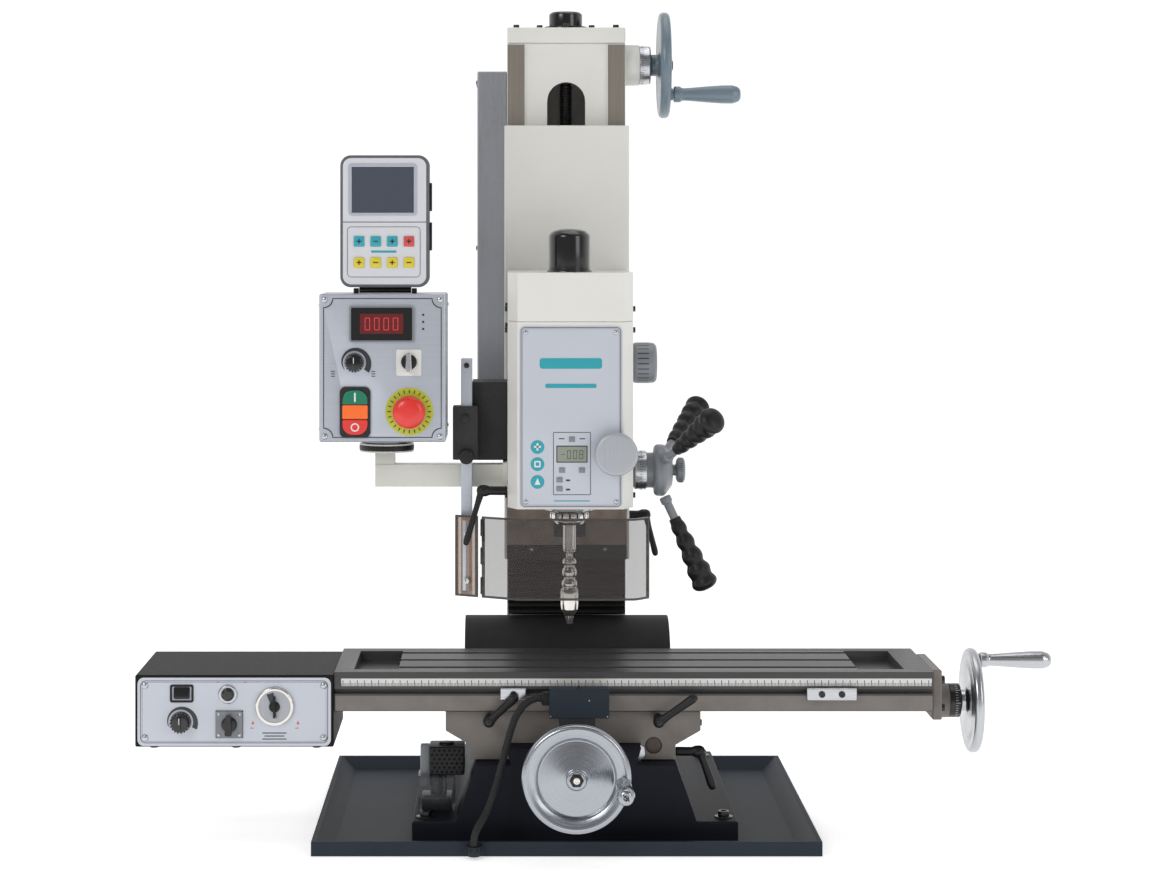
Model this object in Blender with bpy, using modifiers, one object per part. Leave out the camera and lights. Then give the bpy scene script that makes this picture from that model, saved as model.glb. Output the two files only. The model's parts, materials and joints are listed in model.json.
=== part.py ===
"""Benchtop milling machine. Frame: +X right, +Y back, +Z up, origin on the underside of the drip tray,
below the spindle plane in X and midway along the tray in Y. Sizes below are in millimetres."""

import math

import bmesh
import bpy
from mathutils import Matrix, Vector

MM = 0.001
GAP = 0.3  # left between pieces that touch
SIDES = 16

# Driving dimensions
TRAY_X = (-358.0, 342.0)
TRAY_Y = (-295.0, 295.0)
TRAY_HEIGHT = 20.0
TRAY_FLOOR = 3.0
FLANGE_TOP = 34.0
BODY_TOP = 112.0
WAY_TOP = 136.0
WAY_X = 3.0
SADDLE_X = (-176.0, 182.0)
SADDLE_Y = (-200.0, -5.0)
SADDLE_TOP = 181.0
TABLE_X = (-332.0, 508.0)
TABLE_Y = (-211.0, -1.0)
TABLE_TOP = 238.0
SLAB_BOTTOM = 205.0
APRON_BOTTOM = 183.0
SLOT_PITCH = 63.0
SLOT_WIDTH = 12.0
SPINDLE_Y = -106.0
X_SCREW = (SPINDLE_Y, 180.0)  # Y and Z
Y_SCREW = (4.0, 117.0)  # X and Z
Z_SCREW = (0.0, 150.0)  # X and Y
Z_WHEEL_AXIS = (150.0, 1111.0)  # Y and Z
SCREW_RADIUS = 9.8
SHAFT_RADIUS = 8.0
BORE_RADIUS = 8.4
COLUMN_HALF = 90.0
COLUMN_Y = (110.0, 260.0)
COLUMN_TOP = 1142.0
HEAD_HALF = 89.0
HEAD_Z = (464.0, 728.0)
COVER_TOP = 797.0
MOTOR_Y = 0.0
SPINDLE_TEETH = 30
MOTOR_TEETH = 24
GEAR_MODULE = 2 * (MOTOR_Y - SPINDLE_Y) / (SPINDLE_TEETH + MOTOR_TEETH)
HUB_AXIS = (-90.0, 510.0)  # Y and Z
SWIVEL = (-263.0, -107.0)  # X and Y
GUARD_HINGE = (-125.0, -172.0)  # X and Y
GUARD_Z = (337.0, 452.0)
FEED_BOX_X = (-610.0, -332.3)
FEED_PANEL_Y = -215.0
CONTROL_PANEL_Y = -185.0
CONDUIT_RADIUS = 5.25

AXES = {"X": Vector((1, 0, 0)), "Y": Vector((0, 1, 0)), "Z": Vector((0, 0, 1))}
PLANES = {  # columns: the outline's two directions, then the direction it is extruded along
    "X": Matrix(((0, 0, 1), (1, 0, 0), (0, 1, 0))),
    "Y": Matrix(((1, 0, 0), (0, 0, -1), (0, 1, 0))),
    "Z": Matrix.Identity(3),
}


def clear_scene():
    for obj in list(bpy.data.objects):
        bpy.data.objects.remove(obj, do_unlink=True)


def collection(name):
    made = bpy.data.collections.new(name)
    bpy.context.scene.collection.children.link(made)
    return made


clear_scene()
PARTS = collection("benchtop_milling_machine")
CUTTERS = collection("cutters")
CUTTERS.hide_render = True


def material(name, color, roughness, metallic=0.0):
    made = bpy.data.materials.new(name)
    made.use_nodes = True
    shader = made.node_tree.nodes["Principled BSDF"]
    shader.inputs["Base Color"].default_value = (*color, 1.0)
    shader.inputs["Roughness"].default_value = roughness
    shader.inputs["Metallic"].default_value = metallic
    return made


OFF_WHITE = material("off_white_paint", (0.70, 0.69, 0.66), 0.4)
NAVY = material("dark_navy_paint", (0.02, 0.025, 0.035), 0.45)
GROUND_IRON = material("ground_iron", (0.10, 0.09, 0.085), 0.35, 0.6)
TAUPE = material("taupe_iron", (0.18, 0.16, 0.145), 0.5, 0.3)
STEEL = material("bright_steel", (0.60, 0.61, 0.63), 0.25, 1.0)
CHROME = material("chrome", (0.8, 0.78, 0.76), 0.12, 1.0)
BLACK = material("black_plastic", (0.012, 0.012, 0.013), 0.4)
RUBBER = material("black_rubber", (0.01, 0.01, 0.01), 0.7)
GREY = material("grey_enamel", (0.21, 0.225, 0.25), 0.4)
SLATE = material("slate_enamel", (0.13, 0.19, 0.24), 0.35)
SILVER = material("silver_panel", (0.52, 0.55, 0.58), 0.3, 0.8)
SMOKE = material("smoky_polycarbonate", (0.10, 0.07, 0.05), 0.1)
RED = material("red_plastic", (0.70, 0.03, 0.03), 0.35)
GREEN = material("green_plastic", (0.0, 0.14, 0.08), 0.35)


# Shapes

def mesh_object(name, bm):
    mesh = bpy.data.meshes.new(name)
    bm.to_mesh(mesh)
    bm.free()
    obj = bpy.data.objects.new(name, mesh)
    PARTS.objects.link(obj)
    return obj


def block(x, y, z, bevel=0.0):
    """A box between pairs of (low, high) values, with its edges chamfered by bevel."""
    bm = bmesh.new()
    bmesh.ops.create_cube(bm, size=1)
    for vert in bm.verts:
        vert.co = Vector(
            (low + high) / 2 * MM + side * (high - low) * MM
            for (low, high), side in zip((x, y, z), vert.co)
        )
    if bevel:
        bmesh.ops.bevel(bm, geom=bm.edges[:], offset=bevel * MM, segments=1, affect="EDGES")
    return mesh_object("block", bm)


def draft_block(bottom_x, bottom_y, top_x, top_y, z):
    """A box whose top rectangle differs from its bottom one."""
    bm = bmesh.new()
    bmesh.ops.create_cube(bm, size=2)
    for vert in bm.verts:
        x, y = (top_x, top_y) if vert.co.z > 0 else (bottom_x, bottom_y)
        vert.co = Vector((x[vert.co.x > 0], y[vert.co.y > 0], z[vert.co.z > 0])) * MM
    return mesh_object("draft_block", bm)


def rod(start, end, radius, end_radius=None, sides=SIDES):
    """A cylinder or cone from one point to another."""
    start, end = Vector(start) * MM, Vector(end) * MM
    along = end - start
    bm = bmesh.new()
    turn = along.to_track_quat("Z", "Y").to_matrix().to_4x4()
    bmesh.ops.create_cone(
        bm, cap_ends=True, segments=sides, radius1=radius * MM, depth=along.length,
        radius2=(radius if end_radius is None else end_radius) * MM,
        matrix=Matrix.Translation((start + end) / 2) @ turn,
    )
    obj = mesh_object("rod", bm)
    shade_round(obj.data)
    return obj


def ball(centre, radius, sides=12):
    bm = bmesh.new()
    bmesh.ops.create_uvsphere(
        bm, u_segments=sides, v_segments=sides // 2, radius=radius * MM,
        matrix=Matrix.Translation(Vector(centre) * MM),
    )
    obj = mesh_object("ball", bm)
    shade_round(obj.data)
    return obj


def shade_round(mesh):
    mesh.shade_smooth()
    mesh.set_sharp_from_angle(angle=math.radians(40))


def prism(outline, axis, low, high):
    """A flat outline, as (Y, Z), (X, Z) or (X, Y) points, extruded along X, Y or Z."""
    curve = bpy.data.curves.new("outline", "CURVE")
    curve.dimensions = "2D"
    curve.fill_mode = "BOTH"
    curve.extrude = (high - low) / 2 * MM
    spline = curve.splines.new("POLY")
    spline.points.add(len(outline) - 1)
    for point, (u, v) in zip(spline.points, outline):
        point.co = (u * MM, v * MM, 0, 1)
    spline.use_cyclic_u = True
    guide = bpy.data.objects.new("outline", curve)
    PARTS.objects.link(guide)
    place = Matrix.Translation(AXES[axis] * (low + high) / 2 * MM) @ PLANES[axis].to_4x4()
    return curve_to_mesh(guide, place)


def curve_to_mesh(guide, place):
    graph = bpy.context.evaluated_depsgraph_get()
    bm = bmesh.new()
    bm.from_mesh(bpy.data.meshes.new_from_object(guide.evaluated_get(graph)))
    bmesh.ops.remove_doubles(bm, verts=bm.verts[:], dist=0.00001)
    bmesh.ops.transform(bm, matrix=place, verts=bm.verts[:])
    bmesh.ops.recalc_face_normals(bm, faces=bm.faces[:])
    bpy.data.objects.remove(guide, do_unlink=True)
    return mesh_object("prism", bm)


def turned(profile, base, direction, sides=SIDES, closed=False):
    """A profile of (radius, height) points, outer side from top to bottom, turned about a line."""
    bm = bmesh.new()
    verts = [bm.verts.new((radius * MM, 0, height * MM)) for radius, height in profile]
    pairs = list(zip(verts, verts[1:]))
    if closed:
        pairs.append((verts[-1], verts[0]))
    for first, second in pairs:
        bm.edges.new((first, second))
    obj = mesh_object("turned", bm)
    screw = obj.modifiers.new("turn", "SCREW")
    screw.steps = screw.render_steps = sides
    screw.use_merge_vertices = True
    screw.merge_threshold = 0.00001
    screw.use_smooth_shade = True
    turn = Vector(direction).to_track_quat("Z", "Y").to_matrix().to_4x4()
    obj.matrix_world = Matrix.Translation(Vector(base) * MM) @ turn
    return obj


def toothed(teeth, z, centre):
    """A spur gear about a vertical axis, with trapezoid teeth."""
    pitch_radius = teeth * GEAR_MODULE / 2
    root, tip = pitch_radius - 3.4, pitch_radius + 2.4
    outline = []
    for tooth in range(teeth):
        for part, radius in ((-0.24, root), (-0.10, tip), (0.10, tip), (0.24, root)):
            angle = 2 * math.pi * (tooth + part) / teeth
            outline.append((centre[0] + radius * math.cos(angle), centre[1] + radius * math.sin(angle)))
    return prism(outline, "Z", *z)


def arc(centre, radius, start, end, steps):
    """Points of an arc, angles in degrees."""
    angles = (math.radians(start + (end - start) * i / steps) for i in range(steps + 1))
    return [(centre[0] + radius * math.cos(a), centre[1] + radius * math.sin(a)) for a in angles]


# Joining, cutting and naming

def operate(base, other, operation):
    boolean = base.modifiers.new(operation.lower(), "BOOLEAN")
    boolean.operation = operation
    boolean.object = other
    other.hide_render = True
    other.display_type = "WIRE"
    PARTS.objects.unlink(other)
    CUTTERS.objects.link(other)
    return base


def add(base, *others):
    for other in others:
        operate(base, other, "UNION")
    return base


def subtract(base, *others):
    for other in others:
        operate(base, other, "DIFFERENCE")
    return base


def node(name, obj, finish, origin=None):
    """Names a finished piece, gives it a material and puts its origin on its joint's axis."""
    obj.name = obj.data.name = name
    obj.data.materials.clear()
    obj.data.materials.append(finish)
    if origin:
        shift = Vector(origin) * MM - obj.location
        obj.data.transform(Matrix.Translation(-shift))
        obj.location += shift
    return obj


# Base

def drip_tray():
    rim = 6.0
    slope = 24.0
    top_x = (TRAY_X[0] + rim, TRAY_X[1] - rim)
    top_y = (TRAY_Y[0] + rim, TRAY_Y[1] - rim)
    over = 1.0
    tray = block(TRAY_X, TRAY_Y, (0, TRAY_HEIGHT))
    hollow = draft_block(
        (top_x[0] + slope, top_x[1] - slope), (top_y[0] + slope, top_y[1] - slope),
        (top_x[0] - over, top_x[1] + over), (top_y[0] - over, top_y[1] + over),
        (TRAY_FLOOR, TRAY_HEIGHT + over),
    )
    node("drip_tray", add(subtract(tray, hollow), conduit_gland()), NAVY)


def base_casting():
    flange = block((-222, 232), (-235, 260), (TRAY_FLOOR + GAP, FLANGE_TOP), bevel=2)
    body = draft_block((-161, 175), (-235, 260), (-133, 147), (-235, 260), (FLANGE_TOP - 2, BODY_TOP))
    way = prism(
        [(WAY_X - 86, BODY_TOP - 4), (WAY_X + 86, BODY_TOP - 4), (WAY_X + 94, WAY_TOP), (WAY_X - 94, WAY_TOP)],
        "Y", -235, 104,
    )
    seat = block((-112, 112), (103, 260), (BODY_TOP - 4, WAY_TOP))
    neck = rod((Y_SCREW[0], -236 + 3, Y_SCREW[1]), (Y_SCREW[0], -283, Y_SCREW[1]), 14)
    add(flange, body, way, seat, neck)
    subtract(
        flange,
        block((Y_SCREW[0] - 25, Y_SCREW[0] + 25), (-220, 100), (95, WAY_TOP + 2)),
        rod((Y_SCREW[0], -300, Y_SCREW[1]), (Y_SCREW[0], -200, Y_SCREW[1]), BORE_RADIUS),
    )
    for x in ((-128, -14), (28, 140)):
        for y in ((-215, -30), (-10, 175)):
            subtract(flange, block(x, y, (-2, 84)))
    node("base_casting", flange, NAVY)


def column():
    front, back = COLUMN_Y
    tube = block((-COLUMN_HALF, COLUMN_HALF), COLUMN_Y, (WAY_TOP + GAP, COLUMN_TOP))
    for side in (-1, 1):
        edges = sorted((side * 62, side * COLUMN_HALF))
        add(tube, block(edges, (front - 3, front + 5), (WAY_TOP + GAP + 140, COLUMN_TOP - 0.5)))
    boss = rod((COLUMN_HALF - 4, *Z_WHEEL_AXIS), (113, *Z_WHEEL_AXIS), 30.5, sides=32)
    add(tube, boss)
    cavity = block((-58, 58), (front + 16, back - 16), (100, COLUMN_TOP + 10))
    slot = prism([(-29, 300), (29, 300)] + arc((0, 1054), 29, 0, 180, 12), "Y", front - 10, front + 30)
    bore = rod((40, *Z_WHEEL_AXIS), (130, *Z_WHEEL_AXIS), BORE_RADIUS)
    node("column", subtract(tube, cavity, slot, bore), OFF_WHITE)


def column_top_cap():
    low = COLUMN_TOP + GAP
    plate = block((-COLUMN_HALF, COLUMN_HALF), (104, 262), (low, 1166), bevel=1.5)
    x, y = Z_SCREW
    cap = turned([(0, 26), (22, 26), (25, 23), (25, 0), (0, 0)], (x, y, 1165), (0, 0, 1), 28)
    add(plate, cap)
    bore = rod((x, y, 1120), (x, y, 1182), BORE_RADIUS)
    node("column_top_cap", subtract(plate, bore), OFF_WHITE)


def hollow(casing, x, y, z, entry):
    """Cuts a casing's inside, and the cable entry that leads into it."""
    return subtract(casing, block(x, y, z), entry)


def cable_cabinet():
    cabinet = block((-136, -COLUMN_HALF - GAP), (150, 250), (560, 1102), bevel=1.5)
    hollow(cabinet, (-133.5, -93), (152.5, 247.5), (563, 1099), rod((-115, 230, 555), (-115, 230, 570), 9))
    node("cable_cabinet", cabinet, OFF_WHITE)


def oil_pump():
    tank = block((-216, -163), (-177, -123), (FLANGE_TOP + GAP, 86), bevel=4)
    pump = block((-200, -150), (-175, -125), (82, 126), bevel=2)
    handle = block((-213, -198), (-158, -142), (62, 126))
    node("oil_pump", add(tank, pump, handle), BLACK)


def strip(points, thickness):
    """The outline of a bent sheet, from the points along its middle."""
    sides = ([], [])
    for i, (u, v) in enumerate(points):
        before, after = points[max(i - 1, 0)], points[min(i + 1, len(points) - 1)]
        along = Vector((after[0] - before[0], after[1] - before[1])).normalized()
        for side, sign in zip(sides, (1, -1)):
            side.append((u - sign * along.y * thickness / 2, v + sign * along.x * thickness / 2))
    return sides[0] + sides[1][::-1]


def rear_way_cover():
    drop = arc((88, 188), 84, 75, 178, 12)
    sheet = prism(strip([(103.5, 271)] + drop, 3), "X", -153, 153)
    node("rear_way_cover", sheet, RUBBER)


def conduit_hose():
    """A corrugated conduit from the travel stop's gland, in a curve down past the front of the tray."""
    route = (
        (-41.2, -238, 206), (-50, -238, 206), (-65, -244, 199), (-77, -252, 184), (-84, -257, 166),
        (-90, -262, 146), (-96, -267, 124), (-102, -272, 102), (-109, -278, 80), (-117, -285, 60),
        (-123, -293, 50), (-129, -302, 42), (-133, -308, 34), (-134.5, -310, 26), (-134.5, -310, 17.5),
    )
    curve = bpy.data.curves.new("conduit_hose", "CURVE")
    curve.dimensions = "3D"
    curve.bevel_depth = CONDUIT_RADIUS * MM
    curve.bevel_resolution = 2
    curve.use_fill_caps = True
    points = smooth_route(route, 2)
    spline = curve.splines.new("POLY")
    spline.points.add(len(points) - 1)
    for point, place in zip(spline.points, points):
        point.co = (*(place * MM), 1)
    obj = bpy.data.objects.new("conduit_hose", curve)
    PARTS.objects.link(obj)
    curve.materials.append(RUBBER)


def smooth_route(route, steps):
    """Points of a Catmull-Rom curve through the route."""
    route = [Vector(place) for place in route]
    ends = [2 * route[0] - route[1], *route, 2 * route[-1] - route[-2]]
    points = []
    for i in range(1, len(ends) - 2):
        a, b, c, d = ends[i - 1: i + 3]
        for step in range(steps):
            t = step / steps
            points.append(0.5 * (2 * b + (c - a) * t + (2 * a - 5 * b + 4 * c - d) * t * t
                                 + (3 * b - a - 3 * c + d) * t ** 3))
    return points + [route[-1]]


def conduit_gland():
    """The cup on the front of the tray that the conduit ends in, and the foot that holds it."""
    cup = rod((-134.5, -310, 4), (-134.5, -310, 17), 8.5, sides=16)
    foot = block((-146, -123), (-308, TRAY_Y[0] + 2), (4, 16))
    return add(cup, foot)


# Saddle and table

def saddle():
    low, high = SADDLE_X
    left_wing, right_wing = low + 34, high - 35
    outline = [
        (low, SADDLE_TOP), (low, 154), (left_wing, 134), (left_wing, BODY_TOP + 1.5),
        (WAY_X - 88.5, BODY_TOP + 1.5), (WAY_X - 95, WAY_TOP + 0.5),
        (WAY_X + 95, WAY_TOP + 0.5), (WAY_X + 88.5, BODY_TOP + 1.5),
        (right_wing, BODY_TOP + 1.5), (right_wing, 134), (high, 154), (high, SADDLE_TOP),
    ]
    body = prism(outline, "Y", *SADDLE_Y)
    rib = prism([(-170, 178), (-42, 178), (-36, SLAB_BOTTOM - GAP), (-176, SLAB_BOTTOM - GAP)], "X", *SADDLE_X)
    y_nut = block((Y_SCREW[0] - 18, Y_SCREW[0] + 18), (-122, -88), (104, WAY_TOP + 3))
    add(body, rib, y_nut)
    trough = block((low - 5, high + 5), (SPINDLE_Y - 16, SPINDLE_Y + 16), (164, SLAB_BOTTOM + 5))
    subtract(body, trough)
    x_nut = block((-16, 24), (SPINDLE_Y - 18, SPINDLE_Y + 18), (160, 198))
    add(body, x_nut)
    subtract(
        body,
        rod((-30, *X_SCREW), (40, *X_SCREW), 10.4),
        rod((Y_SCREW[0], -140, Y_SCREW[1]), (Y_SCREW[0], -70, Y_SCREW[1]), 10.4),
        rod((116, SADDLE_Y[0] - 3, 133), (116, SADDLE_Y[0] + 3, 133), 12),
    )
    node("saddle", body, TAUPE)


def travel_stop_block():
    stop = block((-31, 52), (-250, -224), (180, 221), bevel=1)
    tab = block((-16, 32), (-249, SADDLE_Y[0] - GAP), (166, 181.5))
    gland = rod((-30, -238, 206), (-40.3, -238, 206), 8.5, sides=16)
    node("travel_stop_block", add(stop, tab, gland), NAVY)


def clamp_lever(name, hub_start, hub_end, tip, hub_radius=7, arm_radius=5.5):
    """An indexing clamp lever: a hub along its axis and a tapering arm to its tip."""
    hub = rod(hub_start, hub_end, hub_radius, sides=16)
    head = ball(hub_end, hub_radius + 1.5)
    arm = rod(hub_end, tip, arm_radius, arm_radius * 0.75, sides=12)
    node(name, add(hub, head, arm), BLACK, origin=hub_start)


def saddle_levers():
    front = SADDLE_Y[0] - GAP
    clamp_lever("x_lock_lever_left", (-115, front, 172), (-115, -230, 172), (-77, -230, 207))
    clamp_lever("x_lock_lever_right", (122, front, 172), (122, -232, 172), (172, -238, 208))
    side = SADDLE_X[1] - 35 + GAP
    clamp_lever("y_lock_lever", (side, -190, 123), (182, -190, 123), (200, -192, 72))


def table():
    front, back = TABLE_Y
    left, right = TABLE_X
    outline = [
        (front, TABLE_TOP), (front, APRON_BOTTOM), (-171.5, APRON_BOTTOM), (-177, SLAB_BOTTOM),
        (-35, SLAB_BOTTOM), (-40.5, APRON_BOTTOM), (back, APRON_BOTTOM), (back, TABLE_TOP),
    ]
    top = prism(outline, "X", left, right)
    left_pocket = (-305, -243)
    right_pocket = (405, 470)
    for pocket in (left_pocket, right_pocket):
        subtract(top, block(pocket, (front + 25, back - 25), (222, TABLE_TOP + 5)))
    for offset in (-SLOT_PITCH, 0, SLOT_PITCH):
        y = SPINDLE_Y + offset
        between = (left_pocket[1] - 5, right_pocket[0] + 5)
        half = SLOT_WIDTH / 2
        tee = [(y - half, TABLE_TOP + 2), (y - half, 227), (y - 10, 227), (y - 10, 216),
               (y + 10, 216), (y + 10, 227), (y + half, 227), (y + half, TABLE_TOP + 2)]
        subtract(top, prism(tee, "X", *between))
    subtract(top, block((left - 5, right + 5), (front - 5, front + 8), (208, 214)))
    node("table", top, GROUND_IRON)


def stop_dogs():
    rear = TABLE_Y[0] - GAP
    for name, x in (("stop_dog_left", (-99, -63)), ("stop_dog_right", (329, 399))):
        dog = block(x, (-221, rear), (200, 217), bevel=1)
        tongue = block((x[0] + 4, x[1] - 4), (rear - 2, rear + 6), (208.5, 213.5))
        node(name, add(dog, tongue), STEEL)


def end_bracket():
    inner = TABLE_X[1] + GAP
    plate = block((inner, 522), (-195, -50), (168, TABLE_TOP), bevel=1.5)
    bearing = rod((520, *X_SCREW), (545, *X_SCREW), 24, sides=32)
    bore = rod((500, *X_SCREW), (560, *X_SCREW), BORE_RADIUS)
    node("end_bracket", subtract(add(plate, bearing), bore), TAUPE)


# X power feed

def feed_box():
    box = block(FEED_BOX_X, (FEED_PANEL_Y, -7), (134, 234.5), bevel=1.5)
    for x in (-585, -470, -357):
        add(box, rod((x, -200, 131), (x, -200, 136), 6, sides=12))
        add(box, rod((x, -22, 131), (x, -22, 136), 6, sides=12))
    add(box, block((-497, -459), (-218, FEED_PANEL_Y + 3), (147, 185)))
    subtract(
        box,
        rod((-348, *X_SCREW), (-330, *X_SCREW), 11),
        block((-558.5, -530.5), (-225, -206), (198.5, 219.5)),
        rod((-480, -225, 208), (-480, -206, 208), 9.4),
    )
    hollow(box, (-607, -353), (-203, -10), (137, 231.5), rod((-520, -20, 165), (-520, 0, 165), 9))
    node("feed_box_housing", box, BLACK)


def feed_controls():
    panel = FEED_PANEL_Y - GAP
    rocker = block((-556.5, -532.5), (-219.5, -211.5), (200.5, 217.5))
    pivot = Vector((-544.5, -212.5, 209)) * MM
    tilt = Matrix.Translation(pivot) @ Matrix.Rotation(math.radians(-8), 4, "X") @ Matrix.Translation(-pivot)
    rocker.data.transform(tilt)
    node("feed_rocker_switch", rocker, BLACK, origin=(-544.5, -212.5, 209))
    for name, (x, z), radius, out in (
        ("feed_speed_knob", (-546, 169), 15, 17), ("feed_dial", (-414.5, 191), 27, 8),
    ):
        knob = turned([(0, out), (radius - 2, out), (radius - 1, 1.5), (radius, 0), (0, 0)],
                      (x, panel, z), (0, -1, 0), 20)
        grip = block((x - 2, x + 2), (panel - out - 5, panel - out + 2), (z - radius * 0.6, z + radius * 0.6))
        node(name, add(knob, grip), BLACK if radius < 20 else SILVER, origin=(x, panel, z))
    button = rod((-480, -210, 208), (-480, -223, 208), 8.6, 8)
    node("feed_rapid_button", button, BLACK, origin=(-480, -210, 208))
    plate = -218 - GAP
    lever = rod((-478, plate, 166), (-478, plate - 8, 166), 11)
    add(lever, block((-483, -473), (plate - 15, plate - 4), (152, 180), bevel=1.5))
    node("feed_direction_lever", lever, BLACK, origin=(-478, plate, 166))


# Screws and handwheels

def screw_with_shaft(screw_start, screw_end, shaft_end, name, origin):
    screw = rod(screw_start, screw_end, SCREW_RADIUS)
    direction = (Vector(screw_end) - Vector(screw_start)).normalized()
    shaft = rod(Vector(screw_end) - direction * 2, shaft_end, SHAFT_RADIUS)
    return node(name, add(screw, shaft), STEEL, origin=origin)


def handwheel(name, base, direction, profile, pin_offset, pin, finish):
    """A turned wheel. Its profile runs along direction from base, and a pin stands out for the crank handle."""
    wheel = turned(profile, base, direction, 28, closed=True)
    start = Vector(base) + Vector(pin_offset)
    along = Vector(direction)
    add(wheel, rod(start + along * pin[0], start + along * pin[1], 9, sides=16))
    return node(name, wheel, finish, origin=base)


def crank_handle(name, base, direction, length, radius):
    """A plain turned crank handle, thickest near its free end."""
    profile = [
        (0, length), (radius * 0.5, length), (radius * 0.8, length * 0.96), (radius, length * 0.88),
        (radius * 0.98, length * 0.7), (radius * 0.8, length * 0.45), (radius * 0.68, length * 0.22),
        (radius * 0.68, length * 0.12), (radius * 0.85, length * 0.1), (radius * 0.85, 0), (0, 0),
    ]
    node(name, turned(profile, base, direction, 12), STEEL, origin=base)


def x_drive():
    screw_with_shaft((-344, *X_SCREW), (500, *X_SCREW), (589, *X_SCREW), "x_leadscrew", (0, *X_SCREW))
    profile = [  # rim, dish and hub, then the graduated dial towards the bearing
        (16, 42), (18, 36), (52, 33), (62, 40), (70, 41), (74, 37), (74, 31), (70, 27),
        (60, 28), (50, 26), (20, 27), (15, 24), (15, 17), (24, 16.4), (24, GAP), (BORE_RADIUS, GAP),
        (BORE_RADIUS, 42),
    ]
    handwheel("x_handwheel", (545, *X_SCREW), (1, 0, 0), profile, (0, 0, 58), (29, 45), STEEL)
    crank_handle("x_crank_handle", (590 + GAP, X_SCREW[0], X_SCREW[1] + 58), (1, 0, 0), 103, 12.5)


def y_drive():
    x, z = Y_SCREW
    screw_with_shaft((x, 95, z), (x, -218, z), (x, -358, z), "y_leadscrew", (x, 0, z))
    profile = [
        (11, 75), (13, 72), (22, 70), (53, 66), (58, 71), (70, 72), (74, 68), (74, 58), (70, 54),
        (56, 56), (50, 58), (20, 60), (14, 56), (14, 28), (22, 27), (22, GAP), (BORE_RADIUS, GAP),
        (BORE_RADIUS, 75),
    ]
    handwheel("y_handwheel", (x, -283, z), (0, -1, 0), profile, (63, 0, -6), (60, 75), STEEL)
    crank_handle("y_crank_handle", (x + 63, -358 - GAP, z - 6), (0, -1, 0), 82, 12.5)


def bevel_gear(centre, direction, near, far):
    """A toothed cone about a line through centre, where the two gears' axes meet."""
    clearance = 2.2
    return rod(Vector(centre) + Vector(direction) * near, Vector(centre) + Vector(direction) * far,
               near - clearance, far - clearance, sides=18)


def z_drive():
    x, y = Z_SCREW
    wheel_y, wheel_z = Z_WHEEL_AXIS
    screw = rod((x, y, 300), (x, y, 1089), SCREW_RADIUS)
    gear = bevel_gear((x, wheel_y, wheel_z), (0, 0, -1), 14, 24)
    node("z_leadscrew", add(screw, gear), STEEL, origin=(x, y, 1085))
    profile = [
        (20, 47), (22, 42), (54, 38), (66, 44), (76, 46), (81, 42), (81, 34), (76, 30), (66, 31),
        (52, 30), (24, 32), (16, 28), (16, 17), (29, 16.4), (29, GAP), (BORE_RADIUS - 2, GAP),
        (BORE_RADIUS - 2, 47),
    ]
    wheel = turned(profile, (113, wheel_y, wheel_z), (1, 0, 0), 28, closed=True)
    shaft = rod((16, wheel_y, wheel_z), (162, wheel_y, wheel_z), SHAFT_RADIUS)
    pin = rod((145, 106, 1064), (163, 106, 1064), 9, sides=16)
    gear = bevel_gear((x, wheel_y, wheel_z), (1, 0, 0), 14, 24)
    add(wheel, shaft, pin, gear)
    node("z_handwheel", wheel, SLATE, origin=(113, wheel_y, wheel_z))
    crank_handle("z_crank_handle", (163 + GAP, 106, 1064), (1, 0, 0), 102, 14)


# Head

def head_outline(grow=0.0):
    half = HEAD_HALF + grow
    corner = 75 + grow
    return [(-half, 59.7), (-half, -166), (-corner, -196 - grow), (corner, -196 - grow), (half, -166), (half, 59.7)]


def head_slide():
    slide = block((-94, 94), (60, 106.7), (362, 1015))
    tongue = block((-28, 28), (104, 182), (600, 700))
    nut = rod((*Z_SCREW, 580), (*Z_SCREW, 720), 10.4)
    node("head_slide", subtract(add(slide, tongue), nut), OFF_WHITE)


def head_casting():
    casting = prism(head_outline(), "Z", *HEAD_Z)
    quill_bore = rod((0, SPINDLE_Y, 400), (0, SPINDLE_Y, 760), 36, sides=32)
    motor_bay = block((-74, 74), (-58, 45), (484, 760))
    subtract(casting, quill_bore, motor_bay)
    for x in ((-80, -46), (46, 80)):
        subtract(casting, block(x, (-160, -66), (484, 760)))
    node("head_casting", casting, OFF_WHITE)


def head_top_cover():
    low = HEAD_Z[1] + GAP
    cover = prism(head_outline(), "Z", low, COVER_TOP)
    dome = [(0, 63), (14, 62), (24, 59), (29.5, 53), (29.5, 0), (0, 0)]
    add(cover, turned(dome, (0, SPINDLE_Y, COVER_TOP - 1), (0, 0, 1), 32))
    for y, radius in ((SPINDLE_Y, 63.5), (MOTOR_Y, 52)):
        subtract(cover, rod((0, y, low - 10), (0, y, 789), radius, sides=32))
    node("head_top_cover", cover, OFF_WHITE)


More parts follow.
